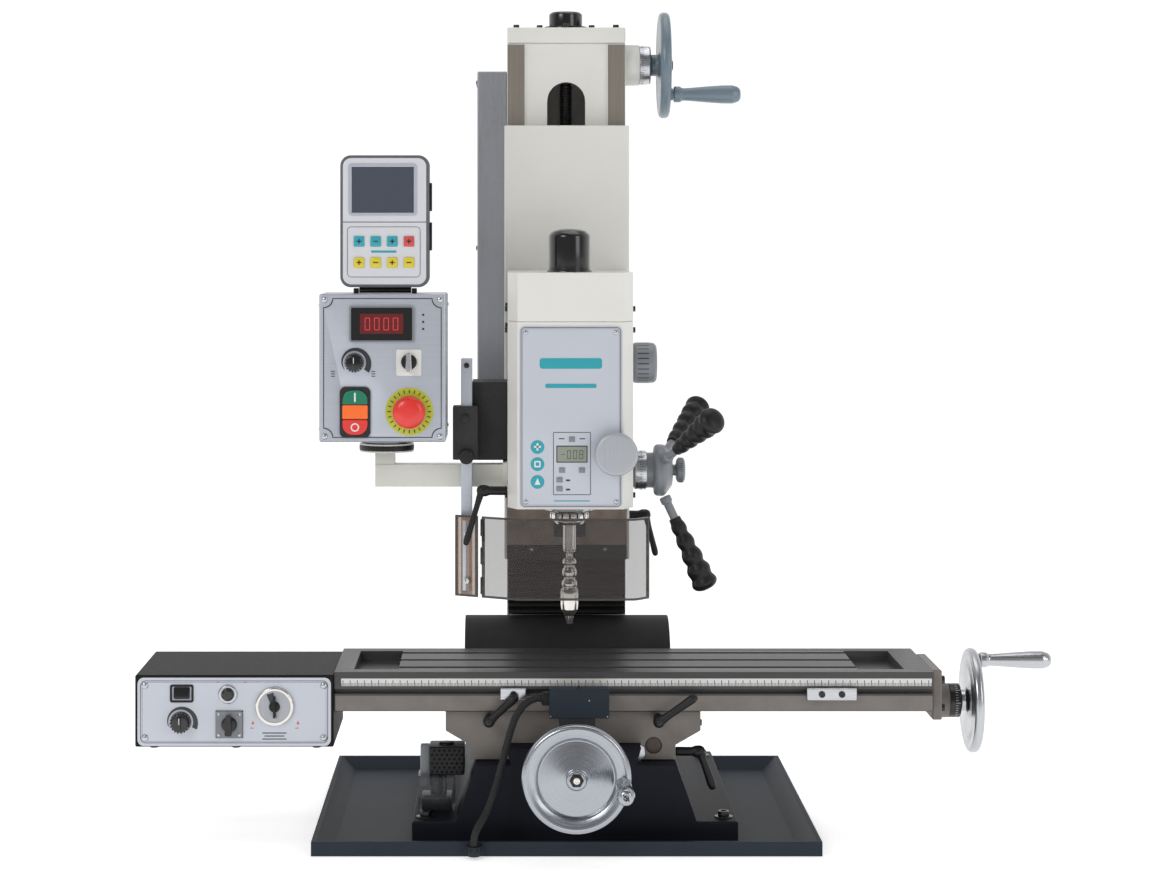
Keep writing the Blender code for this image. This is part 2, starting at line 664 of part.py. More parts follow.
def spindle_parts():
    y = SPINDLE_Y
    quill = rod((0, y, 453.3), (0, y, 712), 35.6, sides=32)
    subtract(quill, rod((0, y, 440), (0, y, 730), 17))
    node("quill", quill, STEEL, origin=(0, y, 453.3))
    profile = [
        (0, 788), (11.5, 788), (11.5, 700), (16, 700), (16, 452.7), (22.5, 452.7), (22.5, 437),
        (20, 434), (9, 433), (9, 397), (0, 397),
    ]
    node("spindle", turned(profile, (0, y, 0), (0, 0, 1), SIDES), CHROME, origin=(0, y, 0))
    rings = [(0, 396.7), (8, 396.7), (5, 394), (5, 384), (8, 382), (10.5, 379), (10.5, 374), (8, 371), (8, 364),
             (11, 361), (11, 354), (8, 351), (8, 348), (11, 345), (11, 338), (9, 335), (12, 332), (12, 310),
             (10, 305), (7, 303), (3, 289), (0, 289)]
    node("drill_chuck", turned(rings, (0, y, 0), (0, 0, 1), SIDES), CHROME, origin=(0, y, 0))


def gear_train():
    gear = toothed(SPINDLE_TEETH, (735, 755), (0, SPINDLE_Y))
    add(gear, rod((0, SPINDLE_Y, HEAD_Z[1] + GAP), (0, SPINDLE_Y, 737), 22))
    subtract(gear, rod((0, SPINDLE_Y, 700), (0, SPINDLE_Y, 790), 12))
    node("spindle_gear", gear, STEEL, origin=(0, SPINDLE_Y, 745))
    rotor = rod((0, MOTOR_Y, 500 + GAP), (0, MOTOR_Y, 690), 36)
    shaft = rod((0, MOTOR_Y, 688), (0, MOTOR_Y, 762), 9)
    pinion = toothed(MOTOR_TEETH, (735, 755), (0, MOTOR_Y))
    node("motor_rotor", add(rotor, shaft, pinion), STEEL, origin=(0, MOTOR_Y, 745))


def knobs_on_head():
    side = HEAD_HALF + GAP
    knob = turned([(0, 36), (24, 36), (28, 32), (29, 22), (29, 4), (26, 0), (0, 0)],
                  (side, SPINDLE_Y, 666), (1, 0, 0), 24)
    node("gear_selector_knob", knob, GREY, origin=(side, SPINDLE_Y, 666))
    disc = turned([(0, 28.7), (27, 28.7), (30, 26), (30, 17), (27, 14), (9, 12), (9, 0), (0, 0)],
                  (63, -196 - GAP, 543.5), (0, -1, 0), 24)
    node("fine_feed_knob", disc, GREY, origin=(63, -196 - GAP, 543.5))


def feed_hub():
    y, z = HUB_AXIS
    side = HEAD_HALF + GAP
    profile = [
        (0, 78), (14, 78), (18, 75), (18, 68), (14, 65.5), (8, 65), (8, 60), (22, 59), (34, 50), (37, 47),
        (37, 36), (34, 33.5), (25, 33), (25, 2), (21, 0), (0, 0),
    ]
    node("feed_hub", turned(profile, (side, y, z), (1, 0, 0), 24), GREY, origin=(side, y, z))


def feed_levers():
    """Three spokes, 120 degrees apart and splayed outwards, each with a ribbed grip."""
    y, z = HUB_AXIS
    splay = math.radians(25)
    for name, angle in (("feed_lever_lower", -90), ("feed_lever_front", 150), ("feed_lever_rear", 30)):
        radial = Vector((0, math.cos(math.radians(angle)), math.sin(math.radians(angle))))
        along = radial * math.cos(splay) + Vector((math.sin(splay), 0, 0))
        root = Vector((137.5, y, z)) + radial * 37.6
        spoke = [(0, 148), (12, 147), (17, 143), (19, 136), (16, 128), (17, 120), (16.5, 114), (13, 106), (15, 98),
                 (14.5, 90), (11.5, 82), (13, 75), (12, 68), (9.5, 60), (11, 53), (10.5, 46), (8.5, 40), (8.5, 36),
                 (6, 34), (6, 0), (0, 0)]
        node(name, turned(spoke, root, along, 12), BLACK, origin=root)


def head_way_cover():
    node("head_way_cover", block((-90, 90), (72, 100), (275.5, 361.7)), RUBBER)


def head_levers():
    clamp_lever("head_lock_lever_left", (-HEAD_HALF - GAP, -160, 487), (-126, -160, 487), (-148, -190, 415), 7, 5)
    clamp_lever("head_lock_lever_right", (94 + GAP, 82, 427), (120, 82, 427), (134, 70, 368), 7, 5)


# Control arm and boxes

def control_arm():
    x, y = SWIVEL
    arm = block((-279, -HEAD_HALF - GAP), (-122, -92), (489, 521))
    post = block((-279, -251), (-121, -93), (515, 541))
    disc = rod((x, y, 539), (x, y, 551), 39, sides=32)
    flange = block((-96, -HEAD_HALF - GAP), (-137, -77), (484, 525))
    node("control_arm", add(arm, post, disc, flange), OFF_WHITE)


def control_box():
    x, y = SWIVEL
    box = block((-355, -176), (CONTROL_PANEL_Y, -65), (558, 767), bevel=2)
    add(box, rod((x, y, 551 + GAP), (x, y, 560), 30))
    subtract(
        box,
        block((-323, -285), (-195, -176), (567, 633)),
        rod((-227.5, -195, 601), (-227.5, -165, 601), 10),
    )
    hollow(box, (-352, -179), (-172, -68), (561, 764), rod((-200, -75, 585), (-200, -60, 585), 9))
    node("control_box", box, SILVER)


def control_box_controls():
    panel = CONTROL_PANEL_Y - GAP
    knob = turned([(0, 18), (12, 18), (13, 3), (14, 0), (0, 0)], (-305, panel, 670), (0, -1, 0), 16)
    node("speed_knob", knob, BLACK, origin=(-305, panel, 670))
    selector = rod((-228, panel, 671), (-228, panel - 7, 671), 11)
    add(selector, block((-232.5, -223.5), (panel - 18, panel - 4), (657, 685), bevel=1))
    node("direction_switch", selector, BLACK, origin=(-228, panel, 671))
    for name, z, finish in (("start_button", (611, 632), GREEN), ("stop_button", (568, 590), RED)):
        button = block((-322, -286), (-190, -180), z, bevel=1)
        node(name, button, finish, origin=(-304, -180, sum(z) / 2))
    mushroom = turned([(0, 35), (12, 34.5), (20, 31), (23, 26), (23, 20), (20, 18), (9, 18), (9, 0), (0, 0)],
                      (-227.5, -176, 601), (0, -1, 0), 20)
    node("emergency_stop", mushroom, RED, origin=(-227.5, -176, 601))


def dro_display():
    display = block((-326, -200), (-175, -130), (776, 963), bevel=5)
    barrel = rod((-300, -152, 771.8), (-226, -152, 771.8), 4.2, sides=16)
    web = block((-298, -228), (-155, -149), (771, 779))
    hollow(display, (-323, -203), (-172, -133), (779.5, 960), rod((-312, -140, 800), (-312, -120, 800), 6))
    node("dro_display", add(display, barrel, web), SILVER, origin=(-263, -152, 771.8))


# Chuck guard

def guard_clamp():
    clamp = block((-167, -131), (-152, -117), (530, 606), bevel=1)
    switch = block((-140, -HEAD_HALF - GAP), (-120, -40), (527, 639), bevel=1)
    knob = rod((-147.5, -150, 535), (-147.5, -164, 535), 10, sides=16)
    rail_hole = block((-156, -139), (-143.5, -126.5), (500, 650))
    node("guard_clamp", subtract(add(clamp, switch, knob), rail_hole), BLACK)


def guard_rail():
    rail = block((-155.5, -139.5), (-143, -127), (336, 674))
    x, y = GUARD_HINGE
    plate = prism(strip([(-163, -150), (x - 2.6, y + 1.5)], 3), "Z", *GUARD_Z)
    bridge = block((-153, -143), (-160, -141), (345, 445))
    node("guard_rail", add(rail, plate, bridge), STEEL)


def guard_shield():
    x, y = GUARD_HINGE
    points = [(x, y), (-73, -203), (90, -203), (110, -180)]
    sheet = prism(strip(points, 3), "Z", *GUARD_Z)
    node("guard_shield", sheet, SMOKE, origin=(x, y, GUARD_Z[0]))


drip_tray()
base_casting()
column()
column_top_cap()
cable_cabinet()
oil_pump()
rear_way_cover()
conduit_hose()
saddle()
travel_stop_block()
saddle_levers()
table()
stop_dogs()
end_bracket()
feed_box()
feed_controls()
x_drive()
y_drive()
z_drive()
head_slide()
head_casting()
head_top_cover()
spindle_parts()
gear_train()
knobs_on_head()
feed_hub()
feed_levers()
head_way_cover()
head_levers()
control_arm()
control_box()
control_box_controls()
dro_display()
guard_clamp()
guard_rail()
guard_shield()
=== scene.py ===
"""Looks of the benchtop milling machine. Sizes below are in millimetres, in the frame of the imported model:
+X right, +Y back, +Z up, origin on the underside of the drip tray."""

import json
import math
import bmesh
import bpy
from mathutils import Matrix, Vector


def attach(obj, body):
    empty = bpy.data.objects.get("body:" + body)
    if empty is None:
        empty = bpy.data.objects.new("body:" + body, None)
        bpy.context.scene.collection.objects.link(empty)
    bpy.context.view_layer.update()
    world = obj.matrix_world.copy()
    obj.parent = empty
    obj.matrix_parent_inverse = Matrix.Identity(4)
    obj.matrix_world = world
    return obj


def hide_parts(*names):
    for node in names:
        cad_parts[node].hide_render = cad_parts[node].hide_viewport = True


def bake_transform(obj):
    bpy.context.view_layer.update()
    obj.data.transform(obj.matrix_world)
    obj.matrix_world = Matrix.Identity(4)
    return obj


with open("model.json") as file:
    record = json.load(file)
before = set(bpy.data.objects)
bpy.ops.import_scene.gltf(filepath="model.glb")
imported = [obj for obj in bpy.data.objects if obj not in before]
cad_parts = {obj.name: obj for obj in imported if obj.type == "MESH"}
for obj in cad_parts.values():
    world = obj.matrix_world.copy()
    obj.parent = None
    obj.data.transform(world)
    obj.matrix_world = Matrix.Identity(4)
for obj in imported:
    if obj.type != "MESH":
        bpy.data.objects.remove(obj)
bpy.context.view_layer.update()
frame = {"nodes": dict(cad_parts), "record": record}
BODY_OF = {node: body for body, nodes in frame["record"]["behaviour"]["bodies"].items() for node in nodes}

MM = 0.001
SKIN = 0.25  # how far a thin plate stands off the surface it covers
FRONT, RIGHT, UP = (0, -1, 0), (1, 0, 0), (0, 0, 1)
AXES = {"X": Vector(RIGHT), "Y": Vector((0, 1, 0)), "Z": Vector(UP)}
PLANES = {  # columns: an outline's two directions, then the direction it is extruded along
    "X": Matrix((UP, RIGHT, (0, 1, 0))),
    "Y": Matrix((RIGHT, (0, 0, -1), (0, 1, 0))),
    "Z": Matrix.Identity(3),
}


# Materials

def rgb(red, green, blue):
    """An sRGB colour, each value 0 to 255, as linear values."""
    return tuple((v / 255 / 12.92) if v <= 10 else ((v / 255 + 0.055) / 1.055) ** 2.4
        for v in (red, green, blue))


class Finish:
    """A material under construction, with textures placed in the object's own frame."""

    def __init__(self, name, roughness=0.4, metallic=0.0, coat=0.0, specular=0.5):
        self.material = bpy.data.materials.new(name)
        self.material.use_nodes = True
        self.tree = self.material.node_tree
        self.shader = self.tree.nodes["Principled BSDF"]
        self.place = self.add("ShaderNodeTexCoord").outputs["Object"]
        self.shader.inputs["Metallic"].default_value = metallic
        self.shader.inputs["Roughness"].default_value = roughness
        self.shader.inputs["Coat Weight"].default_value = coat
        self.shader.inputs["Coat Roughness"].default_value = 0.12
        self.shader.inputs["Specular IOR Level"].default_value = specular

    def add(self, kind, **inputs):
        made = self.tree.nodes.new(kind)
        for name, value in inputs.items():
            made.inputs[name].default_value = value
        return made

    def join(self, output, socket):
        self.tree.links.new(output, socket)

    def noise(self, size, stretch=(1, 1, 1), detail=3.0):
        """Noise whose grains measure about size millimetres, drawn out along an axis by stretch."""
        mapping = self.add("ShaderNodeMapping")
        mapping.inputs["Scale"].default_value = [1 / (size * MM * s) for s in stretch]
        self.join(self.place, mapping.inputs["Vector"])
        noise = self.add("ShaderNodeTexNoise", Scale=1.0, Detail=detail)
        self.join(mapping.outputs["Vector"], noise.inputs["Vector"])
        return noise.outputs["Fac"]

    def spread(self, value, low, high, start=0.3, end=0.7):
        """Maps a noise value from start..end to low..high."""
        ranged = self.add("ShaderNodeMapRange")
        for name, number in (("From Min", start), ("From Max", end), ("To Min", low), ("To Max", high)):
            ranged.inputs[name].default_value = number
        self.join(value, ranged.inputs["Value"])
        return ranged.outputs["Result"]

    def colour_between(self, factor, first, second):
        mix = self.add("ShaderNodeMix")
        mix.data_type = "RGBA"
        mix.inputs[6].default_value = (*first, 1)
        mix.inputs[7].default_value = (*second, 1)
        self.join(factor, mix.inputs[0])
        return mix.outputs[2]

    def colour(self, output):
        self.join(output, self.shader.inputs["Base Color"])

    def bump(self, height, depth, strength=1.0):
        """Raises the surface by depth millimetres where height is 1."""
        bump = self.add("ShaderNodeBump", Strength=strength, Distance=depth * MM)
        self.join(height, bump.inputs["Height"])
        self.join(bump.outputs["Normal"], self.shader.inputs["Normal"])


def coloured(name, colour, roughness, metallic=0.0, vary=0.06, patch=60, grain=0.6, depth=0.02,
        stretch=(1, 1, 1), coat=0.0, specular=0.5, wear=0.05):
    """A finish with slight patches of colour and gloss over a fine surface grain."""
    made = Finish(name, roughness, metallic, coat, specular)
    darker = tuple(v * (1 - vary) for v in colour)
    lighter = tuple(min(1.0, v * (1 + vary)) for v in colour)
    broad = made.noise(patch, stretch)
    made.colour(made.colour_between(made.spread(broad, 0, 1), darker, lighter))
    fine = made.noise(grain, stretch)
    rough = made.spread(fine, roughness - wear, roughness + wear)
    made.join(rough, made.shader.inputs["Roughness"])
    made.bump(fine, depth)
    return made.material


def enamel(name, colour, roughness=0.36, vary=0.025, coat=0.15, specular=0.5):
    """Sprayed machine enamel with a fine orange peel."""
    return coloured(name, colour, roughness, vary=vary, patch=120, grain=1.6, depth=0.035, coat=coat,
        specular=specular)


def brushed(name, colour, along, roughness=0.3, metallic=0.9, vary=0.08):
    """Metal brushed along one axis."""
    stretch = [1, 1, 1]
    stretch["XYZ".index(along)] = 60
    return coloured(name, colour, roughness, metallic, vary, 2.2, 0.35, 0.012, stretch, wear=0.07)


def lathe_turned(name, colour, axis, centre, roughness=0.2, pitch=0.9):
    """Turned metal: fine rings round an axis through centre, seen in its gloss and relief."""
    made = Finish(name, roughness, 1.0)
    made.shader.inputs["Anisotropic"].default_value = 0.85
    around = made.add("ShaderNodeTangent")
    around.direction_type = "RADIAL"
    around.axis = axis
    made.join(around.outputs["Tangent"], made.shader.inputs["Tangent"])
    shift = made.add("ShaderNodeMapping")
    shift.inputs["Location"].default_value = [-c * MM for c in centre]
    made.join(made.place, shift.inputs["Vector"])
    squash = made.add("ShaderNodeVectorMath")
    squash.operation = "MULTIPLY"
    squash.inputs[1].default_value = [0 if axis == letter else 1 for letter in "XYZ"]
    made.join(shift.outputs["Vector"], squash.inputs[0])
    length = made.add("ShaderNodeVectorMath")
    length.operation = "LENGTH"
    made.join(squash.outputs["Vector"], length.inputs[0])
    rings = made.add("ShaderNodeTexNoise", Scale=1 / (pitch * MM), Detail=2.0)
    rings.noise_dimensions = "1D"
    made.join(length.outputs["Value"], rings.inputs["W"])
    ring = rings.outputs["Fac"]
    made.colour(made.colour_between(made.spread(ring, 0, 1), tuple(v * 0.8 for v in colour), colour))
    made.join(made.spread(ring, roughness - 0.06, roughness + 0.1), made.shader.inputs["Roughness"])
    made.bump(ring, 0.01)
    return made.material


def plain_gloss(name, colour, roughness=0.2, glow=0.0):
    made = Finish(name, roughness, coat=0.3)
    made.colour(made.colour_between(made.noise(15), tuple(v * 0.93 for v in colour), colour))
    if glow:
        made.shader.inputs["Emission Color"].default_value = (*colour, 1)
        made.shader.inputs["Emission Strength"].default_value = glow
    return made.material


def see_through(name, colour, alpha, roughness=0.08):
    made = Finish(name, roughness, specular=0.6)
    made.colour(made.colour_between(made.noise(40), tuple(v * 0.85 for v in colour), colour))
    made.shader.inputs["Alpha"].default_value = alpha
    return made.material


def graduated_strip(name):
    """A white strip with graduations every 2 mm along X, and a longer one every 10 mm."""
    made = Finish(name, 0.35)
    split = made.add("ShaderNodeSeparateXYZ")
    made.join(made.place, split.inputs[0])

    def compute(operation, first, second):
        math_node = made.add("ShaderNodeMath")
        math_node.operation = operation
        for socket, value in zip(math_node.inputs, (first, second)):
            if isinstance(value, (int, float)):
                socket.default_value = value
            else:
                made.join(value, socket)
        return math_node.outputs[0]

    def ticks(step, width, top):
        """1 where a tick of this spacing is, below height top in millimetres."""
        along = compute("FLOORED_MODULO", split.outputs["X"], step * MM)
        near = compute("LESS_THAN", along, width * MM)
        return compute("MULTIPLY", near, compute("LESS_THAN", split.outputs["Z"], top * MM))

    short = ticks(2.0, 0.7, 223.0)
    long = ticks(10.0, 1.1, 226.5)
    mark = compute("MAXIMUM", short, long)
    made.colour(made.colour_between(mark, rgb(214, 214, 212), rgb(48, 48, 50)))
    return made.material


WHITE = enamel("off_white_enamel", rgb(221, 220, 215))
CREAM = enamel("cream_enamel", rgb(208, 207, 199))
NAVY = enamel("navy_enamel", rgb(44, 51, 60), 0.55, 0.07, 0, 0.15)
DEEP_NAVY = enamel("deep_navy_enamel", rgb(26, 29, 37), 0.55, 0.08, 0, 0.12)
BLACK_PAINT = enamel("black_enamel", rgb(27, 25, 27), 0.55, 0.08, 0, 0.15)
SLATE = enamel("slate_enamel", rgb(108, 124, 135), 0.3, 0.05)
GREY = enamel("grey_enamel", rgb(126, 130, 136), 0.34, 0.05)
PALE_GREY = brushed("pale_grey_disc", rgb(172, 175, 181), "Z", 0.42, 0.35, 0.03)
GROUND_IRON = coloured("ground_iron", rgb(78, 76, 77), 0.42, 0.2, 0.14, 9, 0.5, 0.015, (24, 1, 1),
    specular=0.25, wear=0.08)
TAUPE = coloured("taupe_cast_iron", rgb(121, 115, 110), 0.5, 0.2, 0.1, 35, 0.9, 0.05, wear=0.08)
MACHINED = brushed("machined_way", rgb(150, 143, 134), "Z", 0.36, 0.75)
STEEL = brushed("bright_steel", rgb(190, 192, 196), "X", 0.24, 1.0, 0.05)
DARK_STEEL = coloured("oiled_dark_steel", rgb(62, 61, 62), 0.3, 0.85, 0.12, 12, 0.5, 0.02)
SILVER = brushed("brushed_silver_panel", rgb(186, 191, 201), "X", 0.38, 0.55, 0.03)
CABINET = brushed("cabinet_steel", rgb(168, 170, 176), "Z", 0.34, 0.9, 0.04)
HEAD_PANEL = coloured("head_panel_film", rgb(196, 200, 210), 0.36, 0.25, 0.02, 90, 0.4, 0.006)
CHROME = coloured("chrome", rgb(214, 211, 206), 0.12, 1.0, 0.05, 20, 0.5, 0.004, wear=0.04)
BLACK_PLASTIC = coloured("black_moulded_plastic", rgb(23, 23, 25), 0.42, 0, 0.15, 14, 0.5, 0.04,
    specular=0.35)
TEXTURED_BLACK = coloured("textured_black_plastic", rgb(30, 29, 30), 0.6, 0, 0.3, 3, 1.3, 0.25, wear=0.1)
GLOSS_BLACK = plain_gloss("gloss_black", rgb(17, 17, 19), 0.16)
RUBBER = coloured("matt_black_rubber", rgb(27, 27, 29), 0.68, 0, 0.18, 25, 0.7, 0.05, wear=0.08)
RED = plain_gloss("red_plastic", rgb(226, 52, 44), 0.3)
GREEN = plain_gloss("green_plastic", rgb(0, 118, 88), 0.3)
ORANGE = plain_gloss("orange_lens", rgb(236, 104, 34), 0.25, 0.15)
YELLOW_GREEN = plain_gloss("yellow_green_ring", rgb(186, 190, 40), 0.4)
YELLOW = plain_gloss("yellow_key", rgb(214, 196, 40), 0.4)
TEAL = plain_gloss("teal_print", rgb(36, 158, 172), 0.4)
KEY_RED = plain_gloss("red_key", rgb(206, 74, 72), 0.4)
INK = plain_gloss("dark_ink", rgb(44, 46, 52), 0.45)
WHITE_INK = plain_gloss("white_ink", rgb(225, 226, 226), 0.45)
SCREEN = plain_gloss("dark_screen", rgb(70, 76, 88), 0.12)
LCD = plain_gloss("liquid_crystal", rgb(142, 148, 134), 0.2)
RED_WINDOW = plain_gloss("dull_red_window", rgb(104, 26, 28), 0.15)
DIGIT = plain_gloss("red_digits", rgb(196, 62, 60), 0.3, 0.35)
SMOKE = see_through("smoky_polycarbonate", rgb(46, 37, 34), 0.36)
TAN = see_through("tan_polycarbonate", rgb(150, 116, 84), 0.5)
SMOKE_EDGE = see_through("smoky_edge", rgb(58, 50, 47), 0.8)
CLEAR = see_through("clear_tank", rgb(70, 74, 80), 0.4)
SCALE = graduated_strip("graduated_scale")
X_TURNED = lathe_turned("x_wheel_metal", rgb(196, 198, 202), "X", (0, -106, 180))
Y_TURNED = lathe_turned("y_wheel_metal", rgb(176, 180, 187), "Y", (4, 0, 117))
Z_STEEL = brushed("spindle_steel", rgb(182, 182, 184), "Z", 0.22, 1.0, 0.06)


# Shapes, added to a mesh under construction

def to_frame(point):
    return Vector(point) * MM


def block(bm, x, y, z, bevel=0.0, segments=2):
    """A box between pairs of (low, high) values with rounded edges."""
    made = bmesh.ops.create_cube(bm, size=1)["verts"]
    for vert in made:
        vert.co = Vector((low + high) / 2 * MM + side * (high - low) * MM
            for (low, high), side in zip((x, y, z), vert.co))
    if bevel:
        edges = list(dict.fromkeys(edge for vert in made for edge in vert.link_edges))
        bmesh.ops.bevel(bm, geom=edges, offset=bevel * MM, segments=segments, profile=0.6, affect="EDGES")
    return bm


def turned(bm, profile, base, direction, steps=64, closed=False):
    """A profile of (radius, height) points, outer side from top to bottom, turned about a line."""
    part = bmesh.new()
    verts = [part.verts.new((radius * MM, 0, height * MM)) for radius, height in profile]
    pairs = list(zip(verts, verts[1:])) + ([(verts[-1], verts[0])] if closed else [])
    edges = [part.edges.new(pair) for pair in pairs]
    bmesh.ops.spin(part, geom=verts + edges, cent=(0, 0, 0), axis=UP, angle=2 * math.pi, steps=steps,
        use_merge=True)
    bmesh.ops.remove_doubles(part, verts=part.verts[:], dist=1e-6)
    bmesh.ops.recalc_face_normals(part, faces=part.faces[:])
    turn = Vector(direction).to_track_quat("Z", "Y").to_matrix().to_4x4()
    part.transform(Matrix.Translation(to_frame(base)) @ turn)
    return merge(bm, part)


def merge(bm, part):
    mesh = bpy.data.meshes.new("part")
    part.to_mesh(mesh)
    part.free()
    bm.from_mesh(mesh)
    bpy.data.meshes.remove(mesh)
    return bm


def rounded(profile, radius=1.0, steps=3):
    """The profile with its corners rounded; end points stay."""
    out = [profile[0]]
    for before, here, after in zip(profile, profile[1:], profile[2:]):
        here, before, after = Vector(here), Vector(before), Vector(after)
        reach = min(radius, (before - here).length * 0.45, (after - here).length * 0.45)
        start = here + (before - here).normalized() * reach
        end = here + (after - here).normalized() * reach
        for i in range(steps + 1):
            t = i / steps
            out.append(tuple(start * (1 - t) ** 2 + here * 2 * t * (1 - t) + end * t * t))
    return out + [profile[-1]]


def rod(bm, start, end, radius, end_radius=None, steps=32, round_off=0.6):
    """A cylinder or cone with softened rims."""
    along = Vector(end) - Vector(start)
    last = radius if end_radius is None else end_radius
    height = along.length
    edge = min(round_off, radius * 0.4, last * 0.4, height * 0.4)
    profile = rounded([(0, height), (last, height), (radius, 0), (0, 0)], edge, 2)
    return turned(bm, profile, start, along, steps)


def rounded_outline(u, v, radius, steps=5):
    """A rectangle's outline with round corners."""
    (left, right), (low, high) = u, v
    corners = ((right, high, 0), (left, high, 90), (left, low, 180), (right, low, 270))
    points = []
    for x, y, start in corners:
        centre = (x - math.copysign(radius, x - (left + right) / 2),
            y - math.copysign(radius, y - (low + high) / 2))
        for i in range(steps + 1):
            angle = math.radians(start + 90 * i / steps)
            points.append((centre[0] + radius * math.cos(angle), centre[1] + radius * math.sin(angle)))
    return points


def prism(bm, outline, axis, low, high, hole=None):
    """An outline extruded along an axis, with a like-numbered inner outline cut out if hole is given."""
    place = PLANES[axis]

    def ring(points, level):
        return [bm.verts.new((place @ Vector((u, v, 0)) + AXES[axis] * level) * MM) for u, v in points]

    rings = [ring(outline, low), ring(outline, high)]
    count = len(outline)
    faces = []
    if hole:
        inner = [ring(hole, low), ring(hole, high)]
        for a, b in ((rings[0], inner[0]), (rings[1], inner[1]), (rings[0], rings[1]), (inner[0], inner[1])):
            faces += [bm.faces.new((a[i], a[(i + 1) % count], b[(i + 1) % count], b[i]))
                for i in range(count)]
    else:
        faces += [bm.faces.new(rings[0]), bm.faces.new(rings[1])]
        faces += [bm.faces.new((rings[0][i], rings[0][(i + 1) % count], rings[1][(i + 1) % count],
            rings[1][i])) for i in range(count)]
    bmesh.ops.recalc_face_normals(bm, faces=faces)
    return bm


def plate(bm, u, v, axis, low, high, radius=1.0):
    """A round-cornered plate between two levels along an axis."""
    return prism(bm, rounded_outline(u, v, radius), axis, low, high)


def border(bm, u, v, axis, low, high, width, radius=2.0):
    """A round-cornered rectangular frame of one width."""
    inner = rounded_outline((u[0] + width, u[1] - width), (v[0] + width, v[1] - width),
        max(radius - width, 0.2))
    return prism(bm, rounded_outline(u, v, radius), axis, low, high, hole=inner)


def cap_screw(bm, place, direction, radius, height=None):
    """A socket-head screw: its head, with the hexagon socket in it."""
    height = height or radius * 0.9
    profile = rounded([(0, height), (radius, height), (radius, 0), (0, 0)], radius * 0.15, 2)
    turned(bm, [(radius * 0.55, height * 0.45), (radius * 0.55, height)] + profile[2:], place, direction, 24)
    return turned(bm, [(0, height * 0.45), (radius * 0.6, height * 0.45)], place, direction, 6)


def pan_screw(bm, place, direction, radius):
    """A domed screw head; its cross recess is not drawn."""
    turned(bm, [(0, radius * 0.5), (radius * 0.55, radius * 0.45), (radius * 0.9, radius * 0.22),
        (radius, 0), (0, 0)], place, direction, 20)
    return bm


def tick_ring(bm, base, direction, radius, count, low, high, width, every=5):
    """Thin marks round a dial, a longer one at each of every marks."""
    turn = Vector(direction).to_track_quat("Z", "Y").to_matrix().to_4x4()
    for i in range(count):
        part = bmesh.new()
        top = high if i % every == 0 else low + (high - low) * 0.55
        block(part, (-width / 2, width / 2), (radius - 0.2, radius + 0.12), (low, top))
        part.transform(Matrix.Rotation(2 * math.pi * i / count, 4, "Z"))
        part.transform(Matrix.Translation(to_frame(base)) @ turn)
        merge(bm, part)
    return bm


def tube(bm, points, radii, sides=12):
    """A closed tube along points, in metres, with a radius in millimetres at each."""
    along = [(points[min(i + 1, len(points) - 1)] - points[max(i - 1, 0)]).normalized()
        for i in range(len(points))]
    across = along[0].orthogonal().normalized()
    rings = []
    for place, direction, radius in zip(points, along, radii):
        across = (across - direction * across.dot(direction)).normalized()
        other = direction.cross(across)
        angles = (2 * math.pi * k / sides for k in range(sides))
        rings.append([bm.verts.new(place + (across * math.cos(a) + other * math.sin(a)) * radius * MM)
            for a in angles])
    faces = [bm.faces.new(rings[0]), bm.faces.new(rings[-1])]
    for first, second in zip(rings, rings[1:]):
        faces += [bm.faces.new((first[k], first[(k + 1) % sides], second[(k + 1) % sides], second[k]))
            for k in range(sides)]
    bmesh.ops.recalc_face_normals(bm, faces=faces)
    return bm


# Pieces

def shade(mesh, angle=35):
    mesh.shade_smooth()
    mesh.set_sharp_from_angle(angle=math.radians(angle))


def built(shapes):
    """A mesh under construction, made of shapes that are each a function and its arguments."""
    bm = bmesh.new()
    for shape, *arguments in shapes:
        shape(bm, *arguments)
    return bm


def piece(name, shapes, material, body, replaces=(), angle=35):
    """A piece that rides on a body, from shapes or a mesh, in one material."""
    bm = built(shapes) if isinstance(shapes, list) else shapes
    mesh = bpy.data.meshes.new(name)
    bm.to_mesh(mesh)
    bm.free()
    mesh.materials.append(material)
    shade(mesh, angle)
    obj = bpy.data.objects.new(name, mesh)
    bpy.context.scene.collection.objects.link(obj)
    if body:
        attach(obj, body)
    if replaces:
        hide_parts(*replaces)
    return obj


def soften(obj, width, segments=3):
    bevel = obj.modifiers.new("soft_edges", "BEVEL")
    bevel.width = width * MM
    bevel.segments = segments
    bevel.limit_method = "ANGLE"
    bevel.angle_limit = math.radians(32)
    bevel.harden_normals = True
    bevel.miter_outer = "MITER_ARC"
    return obj


def refined(node, material, width=1.0, segments=3):
    """A copy of a CAD node with its flat faces whole again and its edges softened, which stands for the node."""
    bm = bmesh.new()
    bm.from_mesh(frame["nodes"][node].data)
    bmesh.ops.remove_doubles(bm, verts=bm.verts[:], dist=2e-6)
    bmesh.ops.dissolve_limit(bm, angle_limit=math.radians(1.0), verts=bm.verts[:], edges=bm.edges[:])
    obj = piece(node + "_shell", bm, material, BODY_OF[node], replaces=[node])
    return soften(obj, width, segments)


# Camera, floor and light

def camera():
    view = bpy.data.cameras.new("camera")
    view.lens = 80
    view.sensor_width = 36
    view.shift_x = 0.063
    view.shift_y = -0.1755
    obj = bpy.data.objects.new("camera", view)
    obj.location = (-0.085, -3.845, 0.850)
    obj.rotation_euler = (math.radians(90), 0, 0)
    bpy.context.scene.collection.objects.link(obj)
    bpy.context.scene.camera = obj


